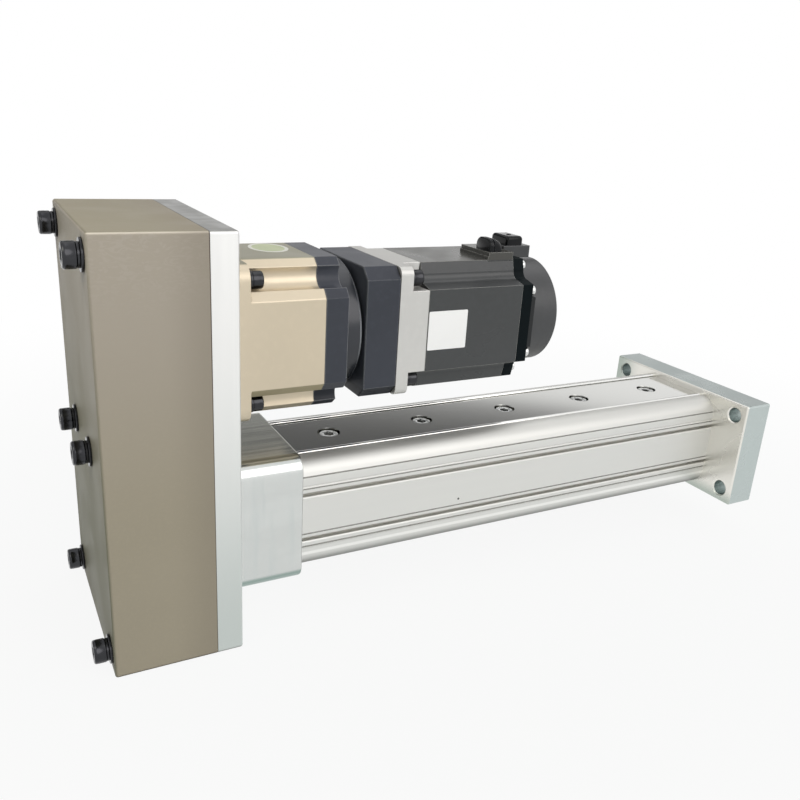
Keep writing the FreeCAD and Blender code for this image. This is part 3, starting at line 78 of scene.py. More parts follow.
# The two colour inputs and the colour output of a Mix node.
MIX_A, MIX_B, MIX_OUT = 6, 7, 2
MATT = {"Specular IOR Level": 0.06}
LOW_SHEEN = {"Specular IOR Level": 0.2}

# Washers under a screw's head, from the seat up: kind, outer radius and thickness in mm.
BOX_WASHERS = (("flat", 8.2, 1.4), ("spring", 6.3, 1.6))
MID_WASHERS = (("flat", 6.0, 1.4), ("spring", 5.3, 1.6))
SCREW_STEPS, SPRING_STEPS = 96, 80
FIRST_SPIN, NEXT_SPIN = 0.37, 1.9

# Width in mm of the softened edges of the outer CAD nodes.
EDGE_WIDTHS = {
    "drive_cover": 0.4, "mount_plate": 0.4, "bearing_block": 0.5, "front_flange": 0.35,
    "gearbox_housing": 0.4, "gearbox_ring": 0.3, "gearbox_input_cover": 0.25,
    "motor_adapter": 0.2, "motor_flange": 0.35, "motor_body": 0.15, "rear_plate": 0.3,
    "encoder_cover": 0.3, "signal_socket": 0.4,
}
WELD_REACH, FLAT_ANGLE, EDGE_ANGLE, EDGE_SEGMENTS = 2 * MICRON, 0.4, 32, 2

# The power plug along X: place, and how far its sides and its crown draw in.
POWER_PLUG = (
    (-242.4, 0.8, 0.9), (-242.1, 0.3, 0.35), (-241.5, 0.0, 0.0), (-239.6, 0.0, 0.0),
    (-239.4, 0.4, 0.4), (-238.9, 0.4, 0.4), (-238.7, 0.0, 0.0), (-237.9, 0.0, 0.1),
    (-235.0, 0.1, 1.3), (-233.6, 0.3, 2.0), (-233.0, 0.6, 2.5), (-232.8, 1.1, 3.0),
)
# The knob on the signal plug: radius and height.
KNOB = ((1.6, 163.9), (1.6, 164.3), (1.35, 164.52), (0.9, 164.6))


def feed(tree, source, socket):
    """Links a socket to another one, or sets it to a constant."""
    if isinstance(source, bpy.types.NodeSocket):
        tree.links.new(source, socket)
    else:
        socket.default_value = source


def math_node(tree, operation, *values, clamp=False):
    node = tree.nodes.new("ShaderNodeMath")
    node.operation = operation
    node.use_clamp = clamp
    for value, socket in zip(values, node.inputs):
        feed(tree, value, socket)
    return node.outputs[0]


def product(tree, first, *others):
    for other in others:
        first = math_node(tree, "MULTIPLY", first, other)
    return first


def ramp_node(tree, source, start, end, low=0.0, high=1.0):
    """A soft step from low to high while the source goes from start to end."""
    node = tree.nodes.new("ShaderNodeMapRange")
    node.interpolation_type = "SMOOTHSTEP"
    limits = {"From Min": start, "From Max": end, "To Min": low, "To Max": high}
    for socket, value in limits.items():
        node.inputs[socket].default_value = value
    tree.links.new(source, node.inputs["Value"])
    return node.outputs["Result"]


def distance_node(tree, source, place):
    node = tree.nodes.new("ShaderNodeVectorMath")
    node.operation = "DISTANCE"
    node.inputs[1].default_value = [c * MM for c in place]
    tree.links.new(source, node.inputs[0])
    return node.outputs["Value"]


def mix_shaders(tree, share, first, second, output):
    mix = tree.nodes.new("ShaderNodeMixShader")
    for source, socket in zip((share, first.outputs[0], second.outputs[0]), mix.inputs):
        tree.links.new(source, socket)
    tree.links.new(mix.outputs[0], tree.nodes[output].inputs["Surface"])


def seen_rays(tree):
    """1 for the rays that show a surface to the eye, straight or in metal and glass."""
    path = tree.nodes.new("ShaderNodeLightPath")
    total = path.outputs["Is Camera Ray"]
    for name in ("Is Glossy Ray", "Is Transmission Ray"):
        total = math_node(tree, "ADD", total, path.outputs[name], clamp=True)
    return total


def set_camera():
    data = bpy.data.cameras.new("photo_camera")
    data.sensor_width = SENSOR_WIDTH
    data.lens = LENS
    data.clip_start = CLIP_START
    camera = bpy.data.objects.new("photo_camera", data)
    scene.collection.objects.link(camera)
    turn, lift, roll = (math.radians(a) for a in (CAMERA_TURN, CAMERA_LIFT, CAMERA_ROLL))
    away = math.cos(lift)
    back = Vector((math.sin(turn) * away, -math.cos(turn) * away, math.sin(lift)))
    level = (-back).cross(Vector((0, 0, 1))).normalized()
    rise = level.cross(-back)
    right = math.cos(roll) * level + math.sin(roll) * rise
    up = math.cos(roll) * rise - math.sin(roll) * level
    axes = Matrix((right, up, back)).transposed().to_4x4()
    camera.matrix_world = Matrix.Translation(Vector(CAMERA_PLACE) * MM) @ axes
    scene.camera = camera
    scene.view_settings.view_transform = "Standard"


def set_world():
    """A white room for the seen rays, with one dim band, and a soft light for matt faces."""
    world = bpy.data.worlds.new("studio")
    world.use_nodes = True
    scene.world = world
    tree = world.node_tree
    ambient = tree.nodes["Background"]
    ambient.inputs["Color"].default_value = (1.0, 0.985, 0.96, 1)
    room = tree.nodes.new("ShaderNodeBackground")
    room.inputs["Color"].default_value = (*WHITE, 1)
    coords = tree.nodes.new("ShaderNodeTexCoord")
    split = tree.nodes.new("ShaderNodeSeparateXYZ")
    tree.links.new(coords.outputs["Generated"], split.inputs[0])
    across, away, up = (split.outputs[axis] for axis in "XYZ")
    # the band lies behind the object, above what the camera takes in
    lower, upper = ramp_node(tree, up, 0.32, 0.331), ramp_node(tree, up, 0.64, 0.5)
    behind = ramp_node(tree, away, 0.1, 0.4)
    depth = ramp_node(tree, up, 0.331, 0.378, 0.73, 0.885)
    band = product(tree, lower, upper, behind, depth)
    feed(tree, math_node(tree, "SUBTRACT", 1.0, band), room.inputs["Strength"])
    feed(tree, ramp_node(tree, across, -0.6, 0.2, 0.03, 0.72), ambient.inputs["Strength"])
    mix_shaders(tree, seen_rays(tree), ambient, room, "World Output")


def set_lamps():
    for name, place, target, size, power, color in LAMPS:
        data = bpy.data.lights.new(name, "AREA")
        data.shape = "DISK"
        data.size = size
        data.energy = power
        data.color = color
        lamp = bpy.data.objects.new(name, data)
        scene.collection.objects.link(lamp)
        place, target = Vector(place), Vector(target)
        aim = (target - place).to_track_quat("-Z", "Y").to_matrix().to_4x4()
        lamp.matrix_world = Matrix.Translation(place) @ aim


def add_floor():
    """A round pale floor that keeps the shadow near the object and fades to white further out."""
    mesh = bpy.data.meshes.new("floor")
    ring = circle(FLOOR_RADIUS, FLOOR_Z * MM, FLOOR_STEPS)
    mesh.from_pydata(ring, [], [list(range(FLOOR_STEPS))])
    floor = bpy.data.objects.new("floor", mesh)
    scene.collection.objects.link(floor)
    material = bpy.data.materials.new("floor_white")
    material.use_nodes = True
    tree = material.node_tree
    tree.nodes.remove(tree.nodes["Principled BSDF"])
    diffuse = tree.nodes.new("ShaderNodeBsdfDiffuse")
    diffuse.inputs["Color"].default_value = (0.5, 0.56, 0.53, 1)
    glow = tree.nodes.new("ShaderNodeEmission")
    glow.inputs["Color"].default_value = (*WHITE, 1)
    glow.inputs["Strength"].default_value = 1.0
    coords = tree.nodes.new("ShaderNodeTexCoord")
    offset = distance_node(tree, coords.outputs["Object"], (-250, 0, FLOOR_Z))
    share = product(tree, ramp_node(tree, offset, 0.15, 0.8, 0.91, 1.0), seen_rays(tree))
    mix_shaders(tree, share, diffuse, glow, "Material Output")
    mesh.materials.append(material)


class Finish:
    """A Principled material built up in layers over object coordinates.

    Lengths are in mm, depths of bumps in microns, and lumps of noise are counted per metre.
    """

    def __init__(self, name, color, rough=0.5, metallic=0.0, **sockets):
        self.material = bpy.data.materials.new(name)
        self.material.use_nodes = True
        self.tree = self.material.node_tree
        self.shader = self.tree.nodes["Principled BSDF"]
        self.place = self.add("ShaderNodeTexCoord").outputs["Object"]
        self.color = (*color, 1.0)
        self.rough = rough
        self.metallic = metallic
        self.normal = None
        for socket, value in sockets.items():
            self.shader.inputs[socket].default_value = value

    def add(self, kind, **settings):
        node = self.tree.nodes.new(kind)
        for key, value in settings.items():
            setattr(node, key, value)
        return node

    def feed(self, source, socket):
        feed(self.tree, source, socket)

    def noise(self, lumps, detail=2.0, warp=0.0, shift=0.0):
        """Noise from 0 to 1, with one count of lumps for each axis or for all three."""
        stretch = self.add("ShaderNodeMapping")
        stretch.inputs["Location"].default_value = (shift, shift, shift)
        stretch.inputs["Scale"].default_value = lumps if isinstance(lumps, tuple) else (lumps,) * 3
        self.feed(self.place, stretch.inputs["Vector"])
        node = self.add("ShaderNodeTexNoise")
        node.inputs["Scale"].default_value = 1.0
        node.inputs["Detail"].default_value = detail
        node.inputs["Distortion"].default_value = warp
        self.feed(stretch.outputs[0], node.inputs["Vector"])
        return node.outputs["Fac"]

    def along(self, axis):
        split = self.add("ShaderNodeSeparateXYZ")
        self.feed(self.place, split.inputs[0])
        return split.outputs[axis]

    def off_axis(self, axis):
        """The distance from the middle along an axis, to either side."""
        return math_node(self.tree, "ABSOLUTE", self.along(axis))

    def ramp(self, source, start, end, low=0.0, high=1.0):
        return ramp_node(self.tree, source, start, end, low, high)

    def step(self, source, start, end, low=0.0, high=1.0):
        """A soft step between two places on an axis, or between two lengths."""
        if isinstance(source, str):
            source = self.along(source)
        return self.ramp(source, start * MM, end * MM, low, high)

    def product(self, *masks):
        return product(self.tree, *masks)

    def tint(self, mask, color):
        node = self.add("ShaderNodeMix", data_type="RGBA")
        self.feed(mask, node.inputs["Factor"])
        self.feed(self.color, node.inputs[MIX_A])
        self.feed((*color, 1.0), node.inputs[MIX_B])
        self.color = node.outputs[MIX_OUT]

    def gloss(self, mask, low, high):
        self.rough = self.ramp(mask, 0.3, 0.7, low, high)

    def bump(self, height, depth):
        node = self.add("ShaderNodeBump")
        node.inputs["Strength"].default_value = 1.0
        node.inputs["Distance"].default_value = depth * MICRON
        self.feed(height, node.inputs["Height"])
        if self.normal is not None:
            self.feed(self.normal, node.inputs["Normal"])
        self.normal = node.outputs["Normal"]

    def open_share(self, reach, own=False):
        """1 on open surfaces, less in grooves and corners; own leaves out the other pieces."""
        node = self.add("ShaderNodeAmbientOcclusion", samples=6, only_local=own)
        node.inputs["Distance"].default_value = reach * MM
        return node.outputs["AO"]

    def paint_crevice_shade(self, reach, color, share=1.0, own=False, start=0.88, full=0.4):
        """Painted shade: darkens grooves, joints and corners, as if less light reached them."""
        self.tint(self.ramp(self.open_share(reach, own), full, start, share, 0.0), color)

    def edges(self, radius, color):
        """Tints a narrow band along the outer edges: partly wear where a finish rubs thin, partly a
        painted highlight where edges catch the light.
        """
        bevel = self.add("ShaderNodeBevel", samples=4)
        bevel.inputs["Radius"].default_value = radius * MM
        dot = self.add("ShaderNodeVectorMath", operation="DOT_PRODUCT")
        self.feed(bevel.outputs[0], dot.inputs[0])
        self.feed(self.add("ShaderNodeNewGeometry").outputs["True Normal"], dot.inputs[1])
        turned = self.ramp(dot.outputs["Value"], 0.9, 0.99, 1.0, 0.0)
        outer = self.ramp(self.open_share(2 * radius, own=True), 0.8, 0.95)
        self.tint(self.product(turned, outer), color)

    def done(self):
        self.feed(self.color, self.shader.inputs["Base Color"])
        self.feed(self.rough, self.shader.inputs["Roughness"])
        self.feed(self.metallic, self.shader.inputs["Metallic"])
        if self.normal is not None:
            self.feed(self.normal, self.shader.inputs["Normal"])
        return self.material


def scaled(color, factor):
    return tuple(min(1.0, c * factor) for c in color)


def blasted(name, color, rough, metallic=0.0, grain=2600, depth=20, cloud=0.06, speck=220,
            **sockets):
    """An even finish with a fine grain and soft clouds, as on blasted and anodised metal."""
    f = Finish(name, color, rough, metallic, **sockets)
    clouds, specks = f.noise(14, 4), f.noise(speck, 2, shift=3.1)
    f.tint(f.ramp(clouds, 0.32, 0.68), scaled(color, 1 - cloud))
    f.tint(f.ramp(specks, 0.45, 0.75, high=0.35), scaled(color, 1 + 1.5 * cloud))
    f.gloss(f.noise(22, 5, 0.6, shift=1.7), rough - 0.05, rough + 0.06)
    f.bump(f.noise(grain, 3), depth)
    return f


def brushed(name, color, rough, lumps, depth=4, streak=0.06, metallic=1.0):
    """Metal with fine lines along one axis, along which lumps is small."""
    f = Finish(name, color, rough, metallic)
    lines, clouds = f.noise(lumps, 4), f.noise(9, 4, 0.4, shift=5.3)
    f.tint(f.ramp(lines, 0.35, 0.65), scaled(color, 1 - streak))
    f.tint(f.ramp(clouds, 0.4, 0.75, high=0.5), scaled(color, 1 - 0.7 * streak))
    wider = tuple(v * 0.6 for v in lumps)
    f.gloss(f.noise(wider, 4, shift=2.2), 0.84 * rough, 1.2 * rough)
    f.bump(lines, depth)
    return f


def box_finish():
    """Taupe: swirl streaks near the top; painted light makes it paler towards the top, painted
    shade darkens the roof, the end face, the part near the plate and the crevices; a dark line
    where the plate joins.
    """
    f = blasted("taupe_anodised", (0.49, 0.437, 0.345), 0.46, 0.05, cloud=0.035, speck=700, **MATT)
    streaks = f.noise((110, 110, 260), 2, warp=3.0, shift=0.7)
    upper = f.step("Z", 128, 172)
    # painted light: the cover turns paler towards the top
    f.tint(f.step("Z", 20, 150, high=0.7), (0.545, 0.487, 0.432))
    f.tint(f.product(f.ramp(streaks, 0.49, 0.61, high=0.5), upper), (0.58, 0.525, 0.47))
    f.bump(f.product(streaks, upper), 60)
    # painted shade: the roof is darker
    roof = f.step("Z", 177.8, 178.2)
    f.tint(roof, (0.37, 0.335, 0.255))
    # the light near top edge: partly wear, partly a painted highlight
    near_edge_wear_and_highlight = f.product(f.step("Z", 177.4, 178), f.step("Y", -63.9, -64.5))
    f.tint(near_edge_wear_and_highlight, (0.8, 0.75, 0.66))
    # painted shade: the cover darkens towards the plate
    f.tint(f.step("X", -460, -434, high=0.4), (0.33, 0.285, 0.235))
    # painted shade: the end face is darker and greener, most towards the bottom
    end_face_painted_shade = f.product(f.step("X", -490.2, -490.6), f.step("Z", 150, 0, high=0.75))
    f.tint(end_face_painted_shade, (0.335, 0.33, 0.255))
    joint = f.product(f.step("X", -434.6, -434.2, high=0.85), f.step("Z", 0, 160, low=0.25))
    f.tint(joint, (0.1, 0.065, 0.05))
    # painted shade in grooves, joints and corners
    f.paint_crevice_shade(2.5, (0.06, 0.05, 0.04), start=0.97)
    return f


def plate_finish():
    """Silver: painted shade makes it darker and greener towards the bottom, darker on the roof and
    in crevices.
    """
    f = brushed("silver_plate", (0.93, 0.93, 0.915), 0.36, (160, 160, 9), 1, 0.03, 0.8)
    # painted shade: darker and greener towards the bottom, darker on the roof
    foot_painted_shade, roof = f.step("Z", 140, -60), f.step("Z", 177.8, 178.2)
    f.tint(foot_painted_shade, (0.58, 0.625, 0.605))
    f.tint(roof, (0.32, 0.32, 0.31))
    # painted shade in grooves, joints and corners
    f.paint_crevice_shade(2.5, (0.12, 0.12, 0.11), start=0.97)
    return f


def block_finish():
    """Silver with upright smears; painted shade makes it dark green along its lower edge, darker on
    the roof and in crevices.
    """
    f = brushed("silver_block", (0.68, 0.7, 0.685), 0.2, (14, 600, 40), 3, 0.06, 0.9)
    smears = f.noise((150, 150, 20), 4, shift=4.4)
    f.tint(f.ramp(smears, 0.5, 0.7, high=0.5), (0.6, 0.64, 0.63))
    # painted shade: a dark green band along the lower edge, and a darker roof
    lower_edge_painted_shade, roof = f.step("Z", -32.2, -35, high=0.8), f.step("Z", 40.5, 41.2)
    f.tint(lower_edge_painted_shade, (0.22, 0.32, 0.285))
    f.tint(roof, (0.5, 0.505, 0.46))
    # painted shade in grooves, joints and corners
    f.paint_crevice_shade(1.6, (0.12, 0.12, 0.11))
    return f


def flange_finish():
    """Silver green: warmer on both faces; a painted green reflection towards the far and lower
    edges of the inner one; light edges, partly wear and partly painted highlight; painted shade in
    crevices.
    """
    f = blasted("silver_flange", (0.52, 0.58, 0.57), 0.3, 0.85, grain=500, depth=0.6, cloud=0.03)
    inner_face, outer_face = f.step("X", -23.8, -24.4), f.step("X", -1.2, -0.6)
    for face in (inner_face, outer_face):
        f.tint(face, (0.9, 0.88, 0.82))
    # painted reflection: green towards the far and lower edges of the inner face
    for edge in (f.step("Y", 42, 70, high=0.6), f.step("Z", -28, -41.5, high=0.6)):
        f.tint(f.product(inner_face, edge), (0.2, 0.31, 0.265))
    # light edges: partly wear, partly a painted highlight
    f.edges(0.7, (0.9, 0.9, 0.88))
    # painted shade in grooves, joints and corners
    f.paint_crevice_shade(2, (0.3, 0.31, 0.29), 0.8, own=True)
    return f


def tube_finish():
    """Extruded silver: a polished roof between ribs that a painted highlight makes bright, satin
    sides and a small dark nick; a painted glint low on the side, painted shade on the upper
    shoulder, along the lower edge, in the slot and in crevices.
    """
    f = Finish("silver_extruded", (0.78, 0.78, 0.755))
    lines, clouds = f.noise((4, 120, 120), 3), f.noise(11, 3, shift=2.6)
    f.tint(f.ramp(lines, 0.35, 0.7), (0.765, 0.765, 0.74))
    f.tint(f.ramp(clouds, 0.4, 0.7, high=0.6), (0.76, 0.765, 0.745))
    across, level = f.off_axis("Y"), f.off_axis("Z")
    f.rough = f.step(across, 27.5, 27.9, 0.09, 0.46)
    f.metallic = f.step(across, 27.5, 27.9, 1.0, 0.65)
    f.bump(f.noise((6, 260, 260), 2, shift=1.1), 1.2)
    # painted shade: the upper shoulder is darker
    shoulder_painted_shade = f.step("Z", 26, 30)
    f.tint(shoulder_painted_shade, (0.69, 0.69, 0.665))
    # painted highlight: the ribs are lighter
    rib_painted_highlight = f.product(f.step(across, 24.4, 24.6), f.step(across, 27.9, 27.5))
    f.tint(rib_painted_highlight, (0.93, 0.93, 0.905))
    glint = f.product(f.step("Z", -23.6, -24.6), f.step("Z", -26.8, -25.6))
    f.tint(glint, (0.97, 0.97, 0.945))
    # painted shade: darker towards the lower edge
    lower_edge_painted_shade = f.step("Z", -26, -34.5)
    f.tint(lower_edge_painted_shade, (0.2, 0.205, 0.19))
    nick = distance_node(f.tree, f.place, (-261.5, -42, -6.7))
    f.tint(f.step(nick, 0.6, 0.9, 1.0, 0.0), (0.05, 0.05, 0.045))
    # painted shade in grooves, joints and corners
    f.paint_crevice_shade(1.8, (0.07, 0.067, 0.048), own=True, start=0.93, full=0.6)
    # painted shade: the floor of the slot is darker and warmer
    slot = f.product(f.step(level, 12.7, 12.9), f.step(level, 17.6, 17.4))
    f.tint(f.product(slot, f.step(across, 41.7, 41.2)), (0.73, 0.724, 0.685))
    return f


def gearbox_finish():
    """Champagne: painted shade makes it darker on the roof, on the downward facet below the near
    side and in crevices.
    """
    f = blasted("champagne_anodised", (0.68, 0.593, 0.453), 0.42, 0.6,
                grain=500, depth=0.8, cloud=0.025)
    # painted shade: the roof is darker
    roof = f.step("Z", 156.4, 156.8)
    f.tint(roof, (0.36, 0.345, 0.26))
    # painted shade: the downward facet below the near side is darker
    facet_painted_shade = f.product(f.step("Z", 87.2, 86.6), f.step("Z", 81.5, 82.1))
    facet_painted_shade = f.product(facet_painted_shade, f.step("X", -406.8, -406.4, high=0.8))
    f.tint(facet_painted_shade, (0.33, 0.285, 0.165))
    # painted shade in grooves, joints and corners
    f.paint_crevice_shade(1.8, (0.2, 0.15, 0.08))
    return f


def black_finishes():
    """The black pieces between gearbox and motor: the anodised ones and the turned cover."""
    black = blasted("black_anodised", (0.068, 0.074, 0.094), 0.36,
                    grain=600, depth=1, cloud=0.1, **LOW_SHEEN)
    # painted shade: the underside is darker
    underside_painted_shade = black.step("Z", 79.5, 78, high=0.8)
    black.tint(underside_painted_shade, (0.018, 0.021, 0.028))
    # light edges: partly wear, partly a painted highlight
    black.edges(0.8, (0.38, 0.39, 0.41))
    disc = blasted("black_turned", (0.034, 0.038, 0.049), 0.26, grain=600, depth=1, cloud=0.1)
    # painted highlight: a light rim on the turned cover
    rim_painted_highlight = disc.product(disc.step("X", -339.6, -339), disc.step("X", -337.6, -338.1))
    disc.tint(rim_painted_highlight, (0.36, 0.38, 0.41))
    # painted shade: the lower half of the turned cover is darker
    lower_half_painted_shade = disc.step("Z", 115, 76, high=0.75)
    disc.tint(lower_half_painted_shade, (0.006, 0.008, 0.01))
    return {"black_anodised": black, "gearbox_input_cover": disc}


def motor_finishes():
    light = blasted("motor_cast_light", (0.66, 0.655, 0.635), 0.42, 0.6,
                    grain=1100, depth=4, cloud=0.04)
    # painted shade in grooves, joints and corners
    light.paint_crevice_shade(1.8, (0.12, 0.12, 0.11))
    body = blasted("motor_dark_paint", (0.057, 0.061, 0.064), 0.3, grain=700, depth=1.5, cloud=0.1)
    # painted light: the roof of the body is lighter and warmer
    roof = body.step("Z", 151.6, 151.9)
    body.tint(roof, (0.072, 0.071, 0.064))
    # light edges: partly wear, partly a painted highlight
    body.edges(0.5, (0.5, 0.5, 0.48))
    # painted shade in grooves, joints and corners
    body.paint_crevice_shade(2, (0.012, 0.012, 0.012), 0.6)
    rear = blasted("motor_black_paint", (0.004, 0.008, 0.01), 0.45, cloud=0.15, **MATT)
    back_face = rear.step("X", -217.2, -216.8)
    rear.tint(back_face, (0.05, 0.052, 0.055))
    cap = blasted("cap_dark_plastic", (0.066, 0.068, 0.073), 0.34, grain=700, depth=2, cloud=0.08)
    cap.bump(cap.noise((9, 420, 420), 4), 10)
    plastic = blasted("black_plastic", (0.006, 0.007, 0.009), 0.18,
                      grain=700, depth=2, cloud=0.2, **LOW_SHEEN)
    # light edges: partly wear, partly a painted highlight
    plastic.edges(0.5, (0.07, 0.075, 0.085))
    socket = blasted("socket_grey", (0.05, 0.053, 0.057), 0.33, grain=1500, depth=10, cloud=0.1)
    # light edges: partly wear, partly a painted highlight
    socket.edges(0.4, (0.15, 0.15, 0.15))
    return {"motor_light": light, "motor_dark": body, "motor_black": rear, "encoder_cover": cap,
            "black_plastic": plastic, "signal_socket": socket}


def screw_finishes():
    oxide = blasted("black_oxide", (0.05, 0.051, 0.055), 0.2, 1.0, grain=900, depth=2, cloud=0.15)
    # painted shade in grooves, joints and corners
    oxide.paint_crevice_shade(1, (0.005, 0.005, 0.005))
    zinc = blasted("bright_zinc", (0.72, 0.73, 0.72), 0.22, 1.0, grain=900, depth=3)
    # painted shade in grooves, joints and corners
    zinc.paint_crevice_shade(3, (0.06, 0.06, 0.055))
    return {"black_screws": oxide, "bright_screws": zinc}


def inside_finishes():
    """The rod, and what is hidden inside."""
    return {
        "rod_chrome": brushed("rod_chrome", (0.62, 0.63, 0.64), 0.13, (1100, 30, 30), 2, 0.04),
        "bearing_steel": brushed("bearing_steel", (0.62, 0.625, 0.63), 0.16, (900, 60, 60)),
        "machine_steel": blasted("machined_steel", (0.5, 0.5, 0.5), 0.3, 1.0, grain=1500),
        "pulley_alloy": blasted("pulley_alloy", (0.72, 0.72, 0.71), 0.35, 1.0, grain=1600),
        "bronze": blasted("bush_bronze", (0.55, 0.36, 0.17), 0.33, 1.0, grain=1800),
        "black_rubber": blasted("black_rubber", (0.02, 0.02, 0.021), 0.6,
                                grain=1600, depth=40, cloud=0.2),
        "inner_plastic": blasted("inner_plastic", (0.16, 0.15, 0.13), 0.45, grain=900, cloud=0.1),
    }


def make_finishes():
    """Materials by the slot, or by the node where a node has its own."""
    made = {
        "taupe_cover": box_finish(), "silver_plate": plate_finish(),
        "bearing_block": block_finish(), "front_flange": flange_finish(),
        "silver_tube": tube_finish(), "champagne": gearbox_finish(),
        **black_finishes(), **motor_finishes(), **screw_finishes(), **inside_finishes(),
    }
    return {slot: finish.done() for slot, finish in made.items()}


def piece(name, shape, material, body, crease=32):
    """An object made from verts in mm and faces, smooth but for its creases."""
    verts, faces = shape
    mesh = bpy.data.meshes.new(name)
    mesh.from_pydata([tuple(c * MM for c in v) for v in verts], [], faces)
    work = bmesh.new()
    work.from_mesh(mesh)
    bmesh.ops.recalc_face_normals(work, faces=work.faces)
    for face in work.faces:
        face.smooth = True
    for edge in work.edges:
        if len(edge.link_faces) == 2:
            edge.smooth = edge.calc_face_angle() < math.radians(crease)
    work.to_mesh(mesh)
    work.free()
    mesh.materials.append(material)
    made = bpy.data.objects.new(name, mesh)
    scene.collection.objects.link(made)
    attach(made, body)
    return made


def loft(rings, loop=False):
    """Verts and faces of closed rings of equal length, joined one to the next.

    The first and last ring are capped, or joined to each other in a loop.
    """
    count = len(rings[0])
    verts = [v for ring in rings for v in ring]
    faces = []
    for i in range(len(rings) if loop else len(rings) - 1):
        a, b = i * count, (i + 1) % len(rings) * count
        for j in range(count):
            k = (j + 1) % count
            faces.append((a + j, a + k, b + k, b + j))
    if not loop:
        faces.append(tuple(range(count)))
        faces.append(tuple(range(len(verts) - count, len(verts))))
    return verts, faces


def join(shapes):
    verts, faces = [], []
    for shape_verts, shape_faces in shapes:
        base = len(verts)
        verts += shape_verts
        faces += [tuple(base + i for i in face) for face in shape_faces]
    return verts, faces


def aimed(shape, place, out):
    """Turns a shape, whose outward axis is +Z, to point along out at a place."""
    verts, faces = shape
    turn = Vector((0, 0, 1)).rotation_difference(Vector(out)).to_matrix()
    return [tuple(turn @ Vector(v) + Vector(place)) for v in verts], faces


def circle(radius, z, count, ridge=0.0):
    """A ring of points, every other one drawn in by the ridge."""
    points = []
    for i in range(count):
        angle = 2 * math.pi * i / count
        reach = radius - (ridge if i % 2 else 0)
        points.append((reach * math.cos(angle), reach * math.sin(angle), z))
    return points


def hexagon(radius, z, count, spin):
    points = []
    for i in range(count):
        angle = 2 * math.pi * i / count
        from_flat = (angle - spin) % (math.pi / 3) - math.pi / 6
        reach = radius * math.cos(math.pi / 6) / math.cos(from_flat)
        points.append((reach * math.cos(angle), reach * math.sin(angle), z))
    return points


def rounded_outline(low, high, radius, reach, steps):
    """A rectangle's outline, with an arc of that reach about the centre of each corner."""
    (u0, v0), (u1, v1) = low, high
    right, left, top, bottom = u1 - radius, u0 + radius, v1 - radius, v0 + radius
    points = []
    corners = ((right, top, 0), (left, top, 90), (left, bottom, 180), (right, bottom, 270))
    for u, v, start in corners:
        for i in range(steps + 1):
            angle = math.radians(start + 90 * i / steps)
            points.append((u + reach * math.cos(angle), v + reach * math.sin(angle)))
    return points


def socket_screw(thread, shank, spin, tall):
    """A knurled socket head screw; z is 0 under the head and rises to its top.

    Its measures are shares of the thread's diameter or of the head's height.
    """
    t, top, count = thread, tall, SCREW_STEPS
    head = 0.825 * t
    knurl = 0.013 * t
    return loft([
        circle(0.42 * t, -shank, count), circle(0.5 * t, -shank + 0.08 * t, count),
        circle(0.5 * t, 0, count), circle(head - 0.03 * t, 0, count), circle(head, 0.03 * t, count),
        circle(head, 0.1 * top, count), circle(head, 0.13 * top, count, knurl),
        circle(head, 0.68 * top, count, knurl), circle(head, 0.71 * top, count),
        circle(head, top - 0.13 * t, count), circle(head - 0.02 * t, top - 0.065 * t, count),
        circle(head - 0.06 * t, top - 0.02 * t, count), circle(head - 0.11 * t, top, count),
        circle(0.47 * t, top, count), hexagon(0.433 * t, top - 0.035 * t, count, spin),
        hexagon(0.433 * t, 0.45 * top, count, spin), circle(0.3 * t, 0.42 * top, count),
        circle(0.02 * t, 0.32 * top, count),
    ])


def flat_washer(inner, outer, thick):
    ease = 0.2 * thick
    section = [(inner, 0), (outer - ease / 2, 0), (outer, ease / 2), (outer, thick - ease),
               (outer - ease, thick), (inner, thick)]
    return loft([circle(r, z, SCREW_STEPS) for r, z in section], loop=True)


def spring_washer(inner, outer, thick, spin):
    """A split ring whose two ends stand a little apart."""
    gap, lift, ease = 0.09, 0.12 * thick, 0.12 * thick
    section = [(inner, ease), (inner + ease, 0), (outer - ease, 0), (outer, ease),
               (outer, thick - lift - ease), (outer - ease, thick - lift),
               (inner + ease, thick - lift), (inner, thick - lift - ease)]
    rings = []
    for i in range(SPRING_STEPS + 1):
        share = i / SPRING_STEPS
        angle = spin + gap + share * (2 * math.pi - 2 * gap)
        across, rise = math.cos(angle), math.sin(angle)
        rings.append([(r * across, r * rise, z + lift * share) for r, z in section])
    return loft(rings)


def screw_group(name, thread, shank, places, out, finish, slot, washers=(), tall=None):
    """Screws of one CAD node. places are under the head or under the first washer."""
    shapes = []
    inner = thread / 2 + 0.4
    for i, place in enumerate(places):
        spin = FIRST_SPIN + NEXT_SPIN * i
        base = Vector(place)
        for kind, outer, thick in washers:
            if kind == "flat":
                washer = flat_washer(inner, outer, thick)
            else:
                washer = spring_washer(inner, outer, thick, spin)
            shapes.append(aimed(washer, base, out))
            base = base + Vector(out) * thick
        shapes.append(aimed(socket_screw(thread, shank, spin, tall or thread), base, out))
    made = piece(name, join(shapes), finish[slot], "frame")
    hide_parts(name)


def around_motor(x, half_y, half_z):
    """Four places about the motor's axis, on a face of the gearbox or the motor."""
    return [(x, half_y * a, MOTOR_Z + half_z * b) for a in SIGNS for b in SIGNS]


